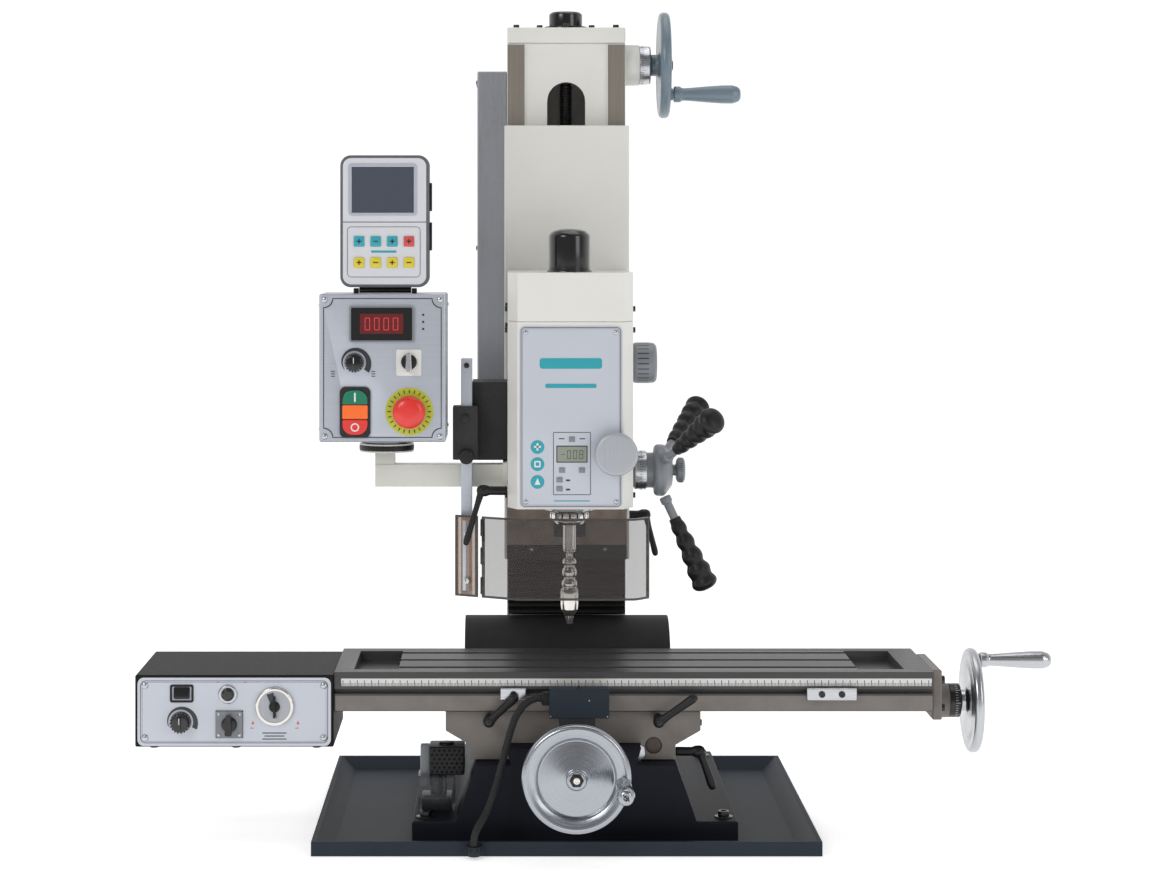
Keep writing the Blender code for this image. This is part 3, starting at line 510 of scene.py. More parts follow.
def floor():
    bm = bmesh.new()
    bmesh.ops.create_grid(bm, x_segments=2, y_segments=2, size=14)
    bm.transform(Matrix.Translation((0, 6, -0.0005)))
    mesh = bpy.data.meshes.new("floor")
    bm.to_mesh(mesh)
    bm.free()
    ground = Finish("pale_floor", 0.6, specular=0.2)
    ground.shader.inputs["Base Color"].default_value = (0.9, 0.9, 0.9, 1)
    ground.shader.inputs["Emission Color"].default_value = (1.0, 1.0, 1.0, 1)
    ground.shader.inputs["Emission Strength"].default_value = 0.52
    mesh.materials.append(ground.material)
    obj = bpy.data.objects.new("floor", mesh)
    bpy.context.scene.collection.objects.link(obj)


def area_light(name, place, target, size, power):
    light = bpy.data.lights.new(name, "AREA")
    light.shape = "RECTANGLE"
    light.size, light.size_y = size
    light.energy = power
    obj = bpy.data.objects.new(name, light)
    obj.location = place
    obj.rotation_euler = (Vector(target) - Vector(place)).to_track_quat("-Z", "Y").to_euler()
    bpy.context.scene.collection.objects.link(obj)


def lights():
    area_light("key", (-2.2, -3.0, 2.6), (0, 0, 0.55), (1.6, 1.6), 42)
    area_light("fill", (2.6, -2.6, 1.6), (0, 0, 0.5), (1.4, 2.0), 20)
    area_light("top", (0.3, 0.2, 3.2), (0, 0, 0.5), (2.2, 1.6), 14)
    world = bpy.data.worlds.new("studio")
    world.use_nodes = True
    tree = world.node_tree
    background = tree.nodes["Background"]
    place = tree.nodes.new("ShaderNodeTexCoord")
    split = tree.nodes.new("ShaderNodeSeparateXYZ")
    product = tree.nodes.new("ShaderNodeMath")
    product.operation = "MULTIPLY"
    tree.links.new(place.outputs["Generated"], split.inputs[0])
    for axis, socket, numbers in (("Z", 0, (0.3, 0.95, 1.0, 0.5)), ("Y", 1, (-0.35, 0.2, 0.3, 1.0))):
        ramp = tree.nodes.new("ShaderNodeMapRange")
        for name, value in zip(("From Min", "From Max", "To Min", "To Max"), numbers):
            ramp.inputs[name].default_value = value
        tree.links.new(split.outputs[axis], ramp.inputs["Value"])
        tree.links.new(ramp.outputs["Result"], product.inputs[socket])
    tree.links.new(product.outputs[0], background.inputs["Strength"])
    background.inputs["Color"].default_value = (1.0, 1.0, 1.0, 1)
    bpy.context.scene.world = world
    bpy.context.scene.view_settings.view_transform = "Standard"
    bpy.context.scene.view_settings.exposure = 0.1


# Conduit and covers, each drawn in one fixed bent shape

def smooth_route(route, steps):
    """Points in metres along a Catmull-Rom curve through the route."""
    route = [to_frame(place) for place in route]
    ends = [2 * route[0] - route[1], *route, 2 * route[-1] - route[-2]]
    points = []
    for i in range(1, len(ends) - 2):
        a, b, c, d = ends[i - 1: i + 3]
        for step in range(steps):
            t = step / steps
            points.append(0.5 * (2 * b + (c - a) * t + (2 * a - 5 * b + 4 * c - d) * t * t
                + (3 * b - a - 3 * c + d) * t ** 3))
    return points + [route[-1]]


def evenly(points, spacing):
    """The same line with points at even distances."""
    lengths = [0.0]
    for first, second in zip(points, points[1:]):
        lengths.append(lengths[-1] + (second - first).length)
    count = int(lengths[-1] / spacing)
    out, at = [], 0
    for i in range(count + 1):
        wanted = lengths[-1] * i / count
        while at < len(points) - 2 and lengths[at + 1] < wanted:
            at += 1
        share = (wanted - lengths[at]) / (lengths[at + 1] - lengths[at])
        out.append(points[at].lerp(points[at + 1], share))
    return out, lengths[-1]


def conduit():
    """Corrugated conduit from the travel stop's gland down to the gland on the front of the tray."""
    route = ((-41.2, -238, 206), (-50, -238, 206), (-65, -244, 199), (-77, -252, 184), (-84, -257, 166),
        (-90, -262, 146), (-96, -267, 124), (-102, -272, 102), (-109, -278, 80), (-117, -285, 60),
        (-123, -293, 50), (-129, -302, 42), (-133, -308, 34), (-134.5, -310, 26), (-134.5, -310, 17.5))
    points, length = evenly(smooth_route(route, 8), 0.00075)
    radii = [4.55 if i % 4 < 2 else 5.25 for i in range(len(points))]
    bm = tube(bmesh.new(), points, radii, 14)
    hose = piece("corrugated_conduit", bm, RUBBER, None, replaces=["conduit_hose"], angle=60)
    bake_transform(hose)


def rear_way_sheet():
    """The rubber sheet behind the table, hanging from the column; its clamping strip and hem are not drawn."""
    angles = [math.radians(a) for a in range(14, 180, 8)]
    drop = [(88 + 84 * math.cos(a), 188 + 84 * math.sin(a)) for a in angles if a > math.radians(75)]
    line = [(103.5, 271)] + drop
    bm = bmesh.new()
    columns = 24
    rows = []
    for i, (y, z) in enumerate(line):
        share = i / (len(line) - 1)
        rows.append([bm.verts.new(to_frame((-153 + 306 * k / columns, y, z + 0.5 * math.sin(k * 1.7) * share)))
            for k in range(columns + 1)])
    for first, second in zip(rows, rows[1:]):
        for k in range(columns):
            bm.faces.new((first[k], second[k], second[k + 1], first[k + 1]))
    bmesh.ops.subdivide_edges(bm, edges=bm.edges[:], cuts=1, use_grid_fill=True)
    obj = piece("rear_way_sheet", bm, RUBBER, None, replaces=["rear_way_cover"], angle=60)
    thick = obj.modifiers.new("sheet", "SOLIDIFY")
    thick.thickness = 2.6 * MM
    thick.offset = 0
    apply_modifiers(obj)
    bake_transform(obj)


def apply_modifiers(obj):
    graph = bpy.context.evaluated_depsgraph_get()
    mesh = bpy.data.meshes.new_from_object(obj.evaluated_get(graph))
    obj.modifiers.clear()
    obj.data = mesh
    shade(mesh, 50)


def head_curtain():
    """The pleated rubber curtain under the head slide; the strips at its ends are not drawn here."""
    low, high = 275.5, 361.5
    pleats = 9
    line = []
    for i in range(pleats * 4 + 1):
        share = i / (pleats * 4)
        line.append((80 + 7.5 * math.cos(share * pleats * 2 * math.pi), low + (high - low) * share))
    bm = bmesh.new()
    rows = [[bm.verts.new(to_frame((x, y, z))) for x in (-89.5, -60, -30, 0, 30, 60, 89.5)] for y, z in line]
    for first, second in zip(rows, rows[1:]):
        for k in range(len(first) - 1):
            bm.faces.new((first[k], first[k + 1], second[k + 1], second[k]))
    obj = piece("pleated_curtain", bm, RUBBER, None, replaces=["head_way_cover"], angle=60)
    thick = obj.modifiers.new("sheet", "SOLIDIFY")
    thick.thickness = 1.6 * MM
    thick.offset = 0
    smooth = obj.modifiers.new("smooth", "SUBSURF")
    smooth.levels = smooth.render_levels = 1
    apply_modifiers(obj)
    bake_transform(obj)


# Base

def base():
    refined("drip_tray", NAVY, 1.5)
    refined("base_casting", DEEP_NAVY, 2.5)
    bolts = [(cap_screw, (x, y, 34), UP, 8, 9) for x in (-204, 214) for y in (-205, 225)]
    washers = [(rod, (x, y, 33.7), (x, y, 35.6), 13) for x in (-204, 214) for y in (-205, 225)]
    piece("base_bolts", bolts + washers, DARK_STEEL, "root")
    bearing = [(turned, rounded([(9, 14), (15, 14), (17.5, 11.5), (17.5, 0), (0, 0)], 1.5), (4, -234.5, 117),
        FRONT, 64)]
    piece("y_screw_bearing", bearing, DEEP_NAVY, "root")
    lead_screw("y_leadscrew", (4, 95, 117), FRONT, 312, 453)
    piece("tray_gland_nut", [(turned, [(6, 7), (8, 7), (9.4, 5), (9.4, 0), (6, 0)], (-134.5, -310, 10.2), UP,
        6, True)], BLACK_PLASTIC, "root")


def pump():
    piece("oil_tank", [(block, (-216, -163), (-177, -123), (34.6, 86), 5, 3)], CLEAR, "root",
        replaces=["oil_pump"])
    body = bmesh.new()
    block(body, (-200, -150), (-175, -125), (86.2, 126), 3, 3)
    for row in range(6):
        for k in range(7):
            x, z = -196 + 7 * k + 3.5 * (row % 2), 91 + 6 * row
            if x < -152:
                turned(body, [(0, 1.6), (2.4, 0), (0, -0.4)], (x, -175, z), FRONT, 4)
    turned(body, rounded([(0, 4), (10, 4), (12, 0), (0, 0)], 2), (-176, -150, 125), UP, 24)
    piece("oil_pump_body", body, BLACK_PLASTIC, "root")
    piece("oil_pump_inside", [(rod, (-190, -150, 37), (-190, -150, 88), 9),
        (rod, (-178, -160, 40), (-178, -160, 86), 3),
        (block, (-211, -168), (-172, -128), (35.4, 56), 3)], DARK_STEEL, "root")
    piece("oil_pump_handle", [(block, (-213, -199), (-158, -143), (66, 126), 2.5)], GREY, "root")


def lead_screw(node, base, direction, threaded, length, head=()):
    """A trapezoidal screw, then its plain shaft; head holds any more points of its outline at the far end."""
    crests = [(8.9 + 0.9 * (i % 2), 2.0 * i) for i in range(int(threaded / 2))]
    outline = [(0, 0), *crests, (8, threaded), *(head or [(8, length)]), (0, length)]
    piece(node + "_thread", [(turned, outline[::-1], base, direction, 20)], DARK_STEEL, BODY_OF[node],
        replaces=[node])


# Column

def column():
    refined("column", WHITE, 1.6)
    refined("column_top_cap", WHITE, 1.6)
    refined("cable_cabinet", CABINET, 1.4)
    strips = [(plate, sorted_pair(side * 63.5, side * 89.2), (279, 1140), "Y", 106.4, 107.2, 0.6)
        for side in (-1, 1)]
    piece("column_way_faces", strips, MACHINED, "root")
    cover = rounded([(0, 27), (21.5, 27), (25.6, 23.5), (25.6, 0.2), (0, 0.2)], 1.5)
    piece("top_bearing_cap", [(turned, cover, (0, 150, 1165.6), UP),
        (turned, rounded([(0, 4), (33, 4), (34, 0), (0, 0)], 1), (0, 150, 1166), UP)], GLOSS_BLACK, "root")
    bolts = [(cap_screw, (40 * math.cos(a), 150 + 40 * math.sin(a), 1166), UP, 4.6, 7)
        for a in (math.radians(k) for k in (0, 90, 180, 270))]
    corner = [(cap_screw, (x, y, 1166), UP, 4.6, 5) for x in (-76, 76) for y in (118, 248)]
    piece("top_cap_screws", bolts + corner, DARK_STEEL, "root")
    piece("cabinet_screws", [(pan_screw, (-136.2, y, z), (-1, 0, 0), 4)
        for y in (162, 238) for z in (580, 830, 1085)], DARK_STEEL, "root")
    boss = rounded([(9, 23.3), (31, 23.3), (31.6, 0), (9, 0)], 1.2)
    piece("z_wheel_boss", [(turned, boss, (90, 150, 1111), RIGHT, 72, True)], WHITE, "root")
    lead_screw("z_leadscrew", (0, 150, 300), UP, 780, 797, [(8, 787), (21.8, 787), (11.8, 797)])


def sorted_pair(first, second):
    return (min(first, second), max(first, second))


def z_wheel():
    axis = (113, 150, 1111)
    dial = rounded([(9, 17), (28, 17), (29.3, 15.5), (29.3, 0.4), (9, 0.4)], 0.8)
    piece("z_dial", [(turned, dial, axis, RIGHT, 72, True)], STEEL, "z_wheel")
    piece("z_dial_marks", [(tick_ring, axis, RIGHT, 29.3, 50, 2, 10, 0.6)], INK, "z_wheel")
    profile = [(20, 47), (22, 42), (40, 38.6), (54, 38), (66, 44), (74, 46.4), (79, 45), (81.3, 41),
        (81.3, 35), (79, 31), (74, 29.6), (66, 31), (52, 30), (24, 32), (16.5, 28), (16.5, 17.4), (8, 17.4),
        (8, 47)]
    wheel = bmesh.new()
    turned(wheel, rounded(profile, 2.5) + [profile[0]], axis, RIGHT, 112)
    rod(wheel, (145, 106, 1064), (162.5, 106, 1064), 9.2)
    turned(wheel, [(0, 10), (21.8, 10), (11.8, 0), (0, 0)], (14, 150, 1111), RIGHT, 32)
    rod(wheel, (20, 150, 1111), (124, 150, 1111), 8)
    piece("z_wheel_casting", wheel, SLATE, "z_wheel", replaces=["z_handwheel"])
    hub = [(turned, rounded([(0, 52), (7, 52), (8, 49), (8, 40), (0, 40)], 0.8), axis, RIGHT, 32),
        (turned, [(0, 51), (13, 50.4), (13, 46), (0, 46)], axis, RIGHT, 6)]
    piece("z_wheel_nut", hub, DARK_STEEL, "z_wheel")
    crank("z_crank_grip", "z_crank_handle", (163.4, 106, 1064), RIGHT, 101.8, 14, SLATE, "z_crank")


def crank(name, node, base, direction, length, radius, material, body):
    """A turned crank handle with a collar, a waist and a domed end, and the screw in its end."""
    profile = [(0, length - 2.5), (radius * 0.24, length - 2.5), (radius * 0.28, length - 0.3),
        (radius * 0.5, length - 0.2), (radius * 0.8, length * 0.965), (radius, length * 0.88),
        (radius * 0.99, length * 0.72), (radius * 0.88, length * 0.5), (radius * 0.72, length * 0.25),
        (radius * 0.68, length * 0.15), (radius * 0.72, length * 0.115), (radius * 0.86, length * 0.1),
        (radius * 0.88, length * 0.02), (radius * 0.8, 0), (0, 0)]
    piece(name, [(turned, rounded(profile, 2.2, 4), base, direction, 48)], material, body,
        replaces=[node], angle=50)


# Saddle and table

def saddle():
    refined("saddle", TAUPE, 1.5)
    refined("travel_stop_block", NAVY, 1.2)
    side = (147.4, -178, 145)
    piece("saddle_side_screws", [(cap_screw, (182, y, 160), RIGHT, 4.5, 4) for y in (-170, -90, -30)]
        + [(cap_screw, side, RIGHT, 5, 5)], DARK_STEEL, "saddle")
    gib = [(91, 112.5), (98, 112.5), (104, 121), (102.5, 131), (97, 134.5)]
    piece("saddle_gib_end", [(prism, gib, "Y", -203, -197)], STEEL, "saddle")
    piece("saddle_plug", [(turned, rounded([(0, 1.5), (8, 1.5), (11.6, 0.5), (11.6, 0), (0, 0)], 0.5),
        (116, -197.4, 133), FRONT, 40)], coloured("brown_plug", rgb(74, 62, 58), 0.5), "saddle")
    dots = ((-29, 183), (24, 205), (49, 183))
    piece("stop_block_pins", [(rod, (x, -249, z), (x, -250.7, z), 1.2, None, 16, 0.4) for x, z in dots],
        STEEL, "saddle")
    piece("stop_block_tab", [(block, (-16.6, 32.6), (-249.6, -201), (165.6, 179.8), 0.8),
        (prism, [(7, 221), (13, 221), (10, 227)], "Y", -247, -245)], RUBBER, "saddle")
    nut = [(6, 11), (8.4, 11), (10.4, 9), (10.4, 0), (6, 0)]
    piece("conduit_gland_nut", [(turned, nut, (-30.6, -238, 206), (-1, 0, 0), 6, True)], BLACK_PLASTIC,
        "saddle")


def clamp_lever(node, body, hub_start, hub_end, tip, hub=7.0, arm=6.5):
    """An indexing lever: a hub with a steel screw in it, a waisted arm and a thick rounded tip."""
    start, end, tip = Vector(hub_start), Vector(hub_end), Vector(tip)
    axis = (end - start).normalized()
    length = (end - start).length
    bm = bmesh.new()
    turned(bm, rounded([(0, length + hub), (hub * 0.8, length + hub * 0.85), (hub + 1.3, length + 1),
        (hub + 1.1, length - hub), (hub - 0.8, length - hub * 1.6), (hub - 0.6, 0.3), (0, 0.3)], 1.6), start,
        axis, 40)
    reach = (tip - end).length
    profile = [(0, reach + arm * 0.45), (arm * 0.7, reach + arm * 0.2), (arm * 0.98, reach - arm * 0.8),
        (arm * 0.86, reach * 0.6), (arm * 0.8, reach * 0.3), (arm * 1.05, 0), (0, 0)]
    turned(bm, rounded(profile, 2), end, tip - end, 32)
    piece(node + "_arm", bm, BLACK_PLASTIC, body, replaces=[node], angle=60)
    socket = [(cap_screw, end + axis * (hub * 0.75), axis, hub * 0.45, hub * 0.25)]
    piece(node + "_screw", socket, DARK_STEEL, body)


def levers():
    clamp_lever("x_lock_lever_left", "x_lock_left", (-115, -200.3, 172), (-115, -230, 172), (-77, -230, 207))
    clamp_lever("x_lock_lever_right", "x_lock_right", (122, -200.3, 172), (122, -232, 172), (172, -238, 208))
    clamp_lever("y_lock_lever", "y_lock", (147.3, -190, 123), (182, -190, 123), (200, -192, 72))
    clamp_lever("head_lock_lever_left", "head_lock_left", (-89.3, -160, 487), (-126, -160, 487),
        (-148, -190, 415), 7, 5)
    clamp_lever("head_lock_lever_right", "head_lock_right", (94.3, 82, 427), (120, 82, 427), (134, 70, 368),
        7, 5)


def table():
    refined("table", GROUND_IRON, 0.8, 2)
    refined("end_bracket", TAUPE, 1.6)
    for node in ("stop_dog_left", "stop_dog_right"):
        refined(node, STEEL, 1.2)
    piece("table_scale", [(plate, (-322, 505), (218.5, 229), "Y", -211.4, -210.8, 0.6)], SCALE, "table")
    piece("table_apron_faces", [(plate, (-330, 506), (184, 205), "Y", -211.25, -210.8, 0.6)], TAUPE, "table")
    piece("stop_dog_screws", [(cap_screw, (x, -221, 208.5), FRONT, 4.6, 2.6) for x in (-81, 350, 378)],
        DARK_STEEL, "table")
    bearing = rounded([(9, 25.5), (21, 25.5), (24.4, 23), (24.4, 0), (9, 0)], 1)
    piece("x_screw_bearing", [(turned, bearing, (519.6, -106, 180), RIGHT, 72, True)], TAUPE, "table")
    piece("end_bracket_screws", [(cap_screw, (522, y, z), RIGHT, 6, 6)
        for y in (-180, -65) for z in (183, 222)], DARK_STEEL, "table")
    lead_screw("x_leadscrew", (-343, -106, 180), RIGHT, 842, 932)


def x_wheel():
    axis = (545, -106, 180)
    dial = rounded([(9, 16.6), (22.6, 16.6), (24.2, 15), (24.2, 0.4), (9, 0.4)], 0.8)
    piece("x_dial", [(turned, dial, axis, RIGHT, 72, True)], DARK_STEEL, "x_wheel")
    piece("x_dial_marks", [(tick_ring, axis, RIGHT, 24.2, 40, 8, 14.5, 0.6)], WHITE_INK, "x_wheel")
    profile = [(15.5, 42), (18, 36), (34, 34), (52, 34), (61, 39.5), (68, 41.6), (72, 40.4), (74.3, 37),
        (74.3, 31.5), (72.5, 28), (68, 26.8), (60, 28), (50, 26), (20, 27), (15, 24), (15, 17), (8, 17),
        (8, 42)]
    wheel = bmesh.new()
    turned(wheel, rounded(profile, 2.2) + [profile[0]], axis, RIGHT, 112)
    rod(wheel, (574, -106, 238), (589.6, -106, 238), 9.2)
    piece("x_wheel_disc", wheel, X_TURNED, "x_wheel", replaces=["x_handwheel"])
    crank("x_crank_grip", "x_crank_handle", (590.4, -106, 238), RIGHT, 102.8, 12.5, X_TURNED, "x_crank")
    piece("x_wheel_nut", [(turned, rounded([(0, 47), (9, 47), (11, 44), (11, 40), (0, 40)], 1), axis, RIGHT,
        6)], DARK_STEEL, "x_wheel")


def y_wheel():
    axis = (4, -283, 117)
    dial = rounded([(9, 27.4), (20.5, 27.4), (22.3, 25), (22.3, 0.4), (9, 0.4)], 0.8)
    piece("y_dial", [(turned, dial, axis, FRONT, 72, True)], DARK_STEEL, "y_wheel")
    piece("y_dial_marks", [(tick_ring, axis, FRONT, 22.3, 40, 14, 24, 0.6)], WHITE_INK, "y_wheel")
    profile = [(10.5, 75.3), (13, 74.5), (14.5, 72), (19, 71), (52, 62.4), (53.4, 66.4), (56, 68.6),
        (62, 71.4), (68, 73), (72, 71.4), (74.3, 67), (74.3, 60), (72, 56), (68, 54.4), (56, 55), (48, 55.4),
        (20, 58), (14, 54), (14, 28), (8.2, 28), (8.2, 75.3)]
    wheel = bmesh.new()
    turned(wheel, rounded(profile, 2) + [profile[0]], axis, FRONT, 128)
    rod(wheel, (67, -340, 111), (67, -357.6, 111), 9.4)
    piece("y_wheel_disc", wheel, Y_TURNED, "y_wheel", replaces=["y_handwheel"])
    piece("y_wheel_nut", [(turned, rounded([(0, 79), (6.5, 79), (8, 77), (8, 72), (0, 72)], 0.8), axis,
        FRONT, 32), (turned, [(0, 77.4), (10, 76.6), (10, 74), (0, 74)], axis, FRONT, 6)], DARK_STEEL,
        "y_wheel")
    piece("y_wheel_centre", [(cap_screw, (4, -361.6, 117), FRONT, 4.6, 1.8)], CHROME, "y_wheel")
    crank("y_crank_grip", "y_crank_handle", (67, -358.4, 111), FRONT, 81.8, 12.5, Y_TURNED, "y_crank")
    # a dark bar painted in the crank's end: painted shade standing in for the shade inside its screw slot
    slot = [(62.1, 114.6), (63.4, 115.9), (71.9, 107.4), (70.6, 106.1)]
    piece("y_crank_slot_shade", [(prism, slot, "Y", -440.0, -438.2)], INK, "y_crank")


# X power feed

def feed_box():
    refined("feed_box_housing", BLACK_PAINT, 1.6)
    face = -215.0
    outline = rounded_outline((-606.5, -336), (135.5, 231), 9, 6)
    piece("feed_box_panel", [(prism, outline, "Y", face - 1.0, face - SKIN)], HEAD_PANEL, "table")
    line = [(border, (-602.5, -340), (139.5, 227), "Y", face - 1.15, face - 0.9, 0.9, 7)]
    line += [(border, (-600, -342.5), (142, 224.5), "Y", face - 1.12, face - 0.9, 0.35, 6)]
    piece("feed_box_border", line, INK, "table")
    screws = [(pan_screw, (x, face - 1, z), FRONT, 5) for x in (-596, -346) for z in (147, 220)]
    piece("feed_box_screws", screws, STEEL, "table")
    side = [(pan_screw, (-610, y, z), (-1, 0, 0), 3.6) for z in (220, 148) for y in (-200, -25)]
    piece("feed_box_side_screws", side, STEEL, "table")
    piece("feed_rocker_bezel", [(border, (-561, -528), (196.5, 221.5), "Y", face - 2.4, face - 0.9, 3, 3)],
        BLACK_PLASTIC, "table")
    rocker = bmesh.new()
    block(rocker, (-556, -533), (-219.4, -211.6), (200.8, 217.2), 2, 3)
    tilt = Matrix.Translation(to_frame((-544.5, -212.5, 209)))
    rocker.transform(tilt @ Matrix.Rotation(math.radians(-8), 4, "X") @ tilt.inverted())
    piece("feed_rocker_cap", rocker, GLOSS_BLACK, "feed_rocker", replaces=["feed_rocker_switch"])
    piece("feed_button_bezel", [(turned, rounded([(9.6, 3.4), (12.4, 3.4), (14, 0.8), (9.6, 0.8)], 0.8),
        (-480, face, 208), FRONT, 48, True)], STEEL, "table")
    button = rounded([(0, 12), (7, 12), (8.7, 10), (8.7, -1), (0, -1)], 1.4)
    piece("feed_button_cap", [(turned, button, (-480, face + 4, 208), FRONT, 40)], GLOSS_BLACK, "feed_rapid",
        replaces=["feed_rapid_button"])
    arc_marks(face)
    knob_with_pointer("feed_speed_cap", "feed_speed_knob", "feed_speed", (-546, face - 0.3, 169), 15, 17,
        GLOSS_BLACK)
    dial_face(face)
    feed_lever(face)


def wedge(centre, inner, outer, start, end, thin, steps=20):
    """An arc band, angles in degrees, that tapers from full width at its end to thin at its start."""
    outside, inside = [], []
    for i in range(steps + 1):
        share = i / steps
        angle = math.radians(start + (end - start) * share)
        reach = inner + (outer - inner) * (thin + (1 - thin) * share)
        outside.append((centre[0] + reach * math.cos(angle), centre[1] + reach * math.sin(angle)))
        inside.append((centre[0] + inner * math.cos(angle), centre[1] + inner * math.sin(angle)))
    return outside + inside[::-1]


def arc_marks(face):
    """Tapered arcs round the knobs, and small arrows and dots for their ends."""
    film = ("Y", face - 1.2, face - 0.95)
    speed = [(prism, wedge((-546, 169), 17.5, 25, 200, -25, 0.12), "Y", face - 1.25, face - 0.95)]
    piece("feed_speed_arc", speed, INK, "table")
    marks = [(plate, (x, x + 5), (z, z + 1.2), *film, 0.4)
        for x, z in ((-496, 224), (-458, 224), (-449, 160), (-386, 160))]
    marks += [(prism, [(x, 166), (x + 4, 166), (x + 2, 171)], *film) for x in (-447, -384)]
    piece("feed_marks", marks, KEY_RED, "table")
    lines = [(plate, (-432 + 3 * (i % 2), -398 - 3 * (i % 2)), (153 - 4.2 * i, 154.4 - 4.2 * i), *film, 0.4)
        for i in range(3)]
    piece("feed_caption_bars", lines, INK, "table")


def knob_with_pointer(name, node, body, base, radius, out, material, direction=FRONT):
    """A knob with a fluted rim and a raised grip bar that carries a white line."""
    bm = bmesh.new()
    turned(bm, rounded([(0, out), (radius - 3, out), (radius - 1.4, out * 0.35), (radius, 1), (radius, 0),
        (0, 0)], 1.2), base, direction, 56)
    x, y, z = base
    for k in range(18):
        angle = 2 * math.pi * k / 18
        centre = (x + (radius - 1.6) * math.cos(angle), z + (radius - 1.6) * math.sin(angle))
        rod(bm, (centre[0], y - out * 0.85, centre[1]), (centre[0], y - 1, centre[1]), 0.9, 1.2, 8, 0.3)
    block(bm, (x - 2.2, x + 2.2), (y - out - 4.6, y - out + 2), (z - radius * 0.6, z + radius * 0.62), 1)
    piece(name, bm, material, body, replaces=[node])
    line = [(block, (x - 0.5, x + 0.5), (y - out - 4.8, y - out - 4.4), (z, z + radius * 0.58), 0.1)]
    piece(name + "_line", line, WHITE_INK, body)


def dial_face(face):
    """The large dial: a bright rim, a white face, a tapered black pointer and its grip."""
    x, z = -414.5, 191
    base = (x, face - 1.2, z)
    rim = rounded([(22.5, 5), (26, 5), (27.2, 3.6), (27.2, 0), (22.5, 0)], 0.8)
    piece("feed_dial_rim", [(turned, rim, base, FRONT, 80, True)], CHROME, "feed_dial",
        replaces=["feed_dial"])
    piece("feed_dial_face", [(turned, [(0, 4), (22.6, 4), (22.6, 0.6), (0, 0.6)], base, FRONT, 80)],
        PALE_GREY, "feed_dial")
    pointer = [(x - 11, z + 17), (x - 1.5, z + 20), (x + 3, z - 16)]
    piece("feed_dial_pointer", [(prism, pointer, "Y", face - 6.2, face - 5.1)], INK, "feed_dial")
    piece("feed_dial_grip", [(block, (x - 1.6, x + 1.6), (face - 13.2, face - 5), (z - 15, z + 15), 1.2),
        (turned, rounded([(0, 4), (7, 4), (8, 0), (0, 0)], 1), (x, face - 5, z), FRONT, 40)], BLACK_PLASTIC,
        "feed_dial")
    ticks = [(tick_ring, base, FRONT, 21.6, 36, 4, 4.35, 0.5, 3)]
    piece("feed_dial_ticks", ticks, INK, "feed_dial")


def feed_lever(face):
    level = -218.0
    piece("feed_lever_plate", [(plate, (-496.6, -459.4), (147.4, 184.6), "Y", level - 0.6, level - 0.1, 2)],
        GREY, "table")
    piece("feed_lever_screws", [(pan_screw, (x, level - 0.5, z), FRONT, 2.6) for x in (-492.5, -463.5)
        for z in (151.5, 180.5)], STEEL, "table")
    hub = rounded([(0, 8), (9.4, 8), (11, 2), (11, 0.8), (0, 0.8)], 1.2)
    outline = [(-483, 154), (-481.4, 152), (-474.6, 152), (-473, 154), (-475, 180), (-481, 180)]
    obj = piece("feed_lever_handle", [(turned, hub, (-478, level, 166), FRONT, 40),
        (prism, outline, "Y", level - 15, level - 4)], DARK_STEEL, "feed_direction",
        replaces=["feed_direction_lever"])
    soften(obj, 0.8, 2)


# Head

def head():
    refined("head_slide", WHITE, 2.5)
    refined("head_casting", WHITE, 2.2)
    refined("head_top_cover", WHITE, 2.2)
    cap = rounded([(0, 62.4), (14, 61.5), (24, 58.6), (29.8, 53), (29.8, 0.4), (0, 0.4)], 3, 4)
    piece("drawbar_cap", [(turned, cap, (0, -106, 796.8), UP, 80),
        (turned, rounded([(0, 2.6), (32, 2.6), (33, 0), (0, 0)], 0.8), (0, -106, 797), UP, 80)], GLOSS_BLACK,
        "head")
    face = -196.0
    piece("head_panel", [(plate, (-72, 72), (466.5, 722), "Y", face - 1.0, face - SKIN, 7)], HEAD_PANEL,
        "head")
    piece("head_panel_border", [(border, (-70.5, 70.5), (468, 720.5), "Y", face - 1.15, face - 0.9, 0.9, 6),
        (border, (-68.3, 68.3), (470.2, 718.3), "Y", face - 1.12, face - 0.9, 0.4, 5)], INK, "head")
    piece("head_panel_screws", [(pan_screw, (x, face - 1, z), FRONT, 3.6) for x in (-63.5, 63.5)
        for z in (475, 713)], STEEL, "head")
    side = [(side_screw, side, y, 745) for side in (-1, 1) for y in (-150, 30)]
    side += [(side_screw, side, y, z) for side in (-1, 1) for y in (-150, 40) for z in (480, 715)]
    piece("head_side_screws", side, DARK_STEEL, "head")
    symbols(face)
    depth_readout(face)


def side_screw(bm, side, y, z):
    cap_screw(bm, (side * 89, y, z), (side, 0, 0), 4, 4)


def symbols(face):
    """Three round teal symbols with a plain white mark in each, and two plain bars above."""
    x = -47
    film, upper = ("Y", face - 1.25, face - 0.95), ("Y", face - 1.5, face - 1.3)
    discs = [(turned, [(0, 1.35), (9.4, 1.35), (9.8, 0.9), (0, 0.9)], (x, face, z), FRONT, 40)
        for z in (552, 528, 503)]
    bars = [(plate, (-44, 44), (662, 677), *film, 4), (plate, (-36, 36), (635, 641), *film, 2),
        (plate, (-24, 27), (475.5, 477), *film, 0.7)]
    piece("head_symbols", discs + bars, TEAL, "head")
    marks = [(plate, (x - 5, x + 5), (551, 553.6), *upper, 1),
        (plate, (x - 1.3, x + 1.3), (547, 557.5), *upper, 1),
        (border, (x - 4.5, x + 4.5), (523.5, 532.5), *upper, 2, 1.4),
        (prism, [(x - 4, 499), (x + 4, 499), (x, 508.5)], *upper)]
    piece("head_symbol_marks", marks, WHITE_INK, "head")


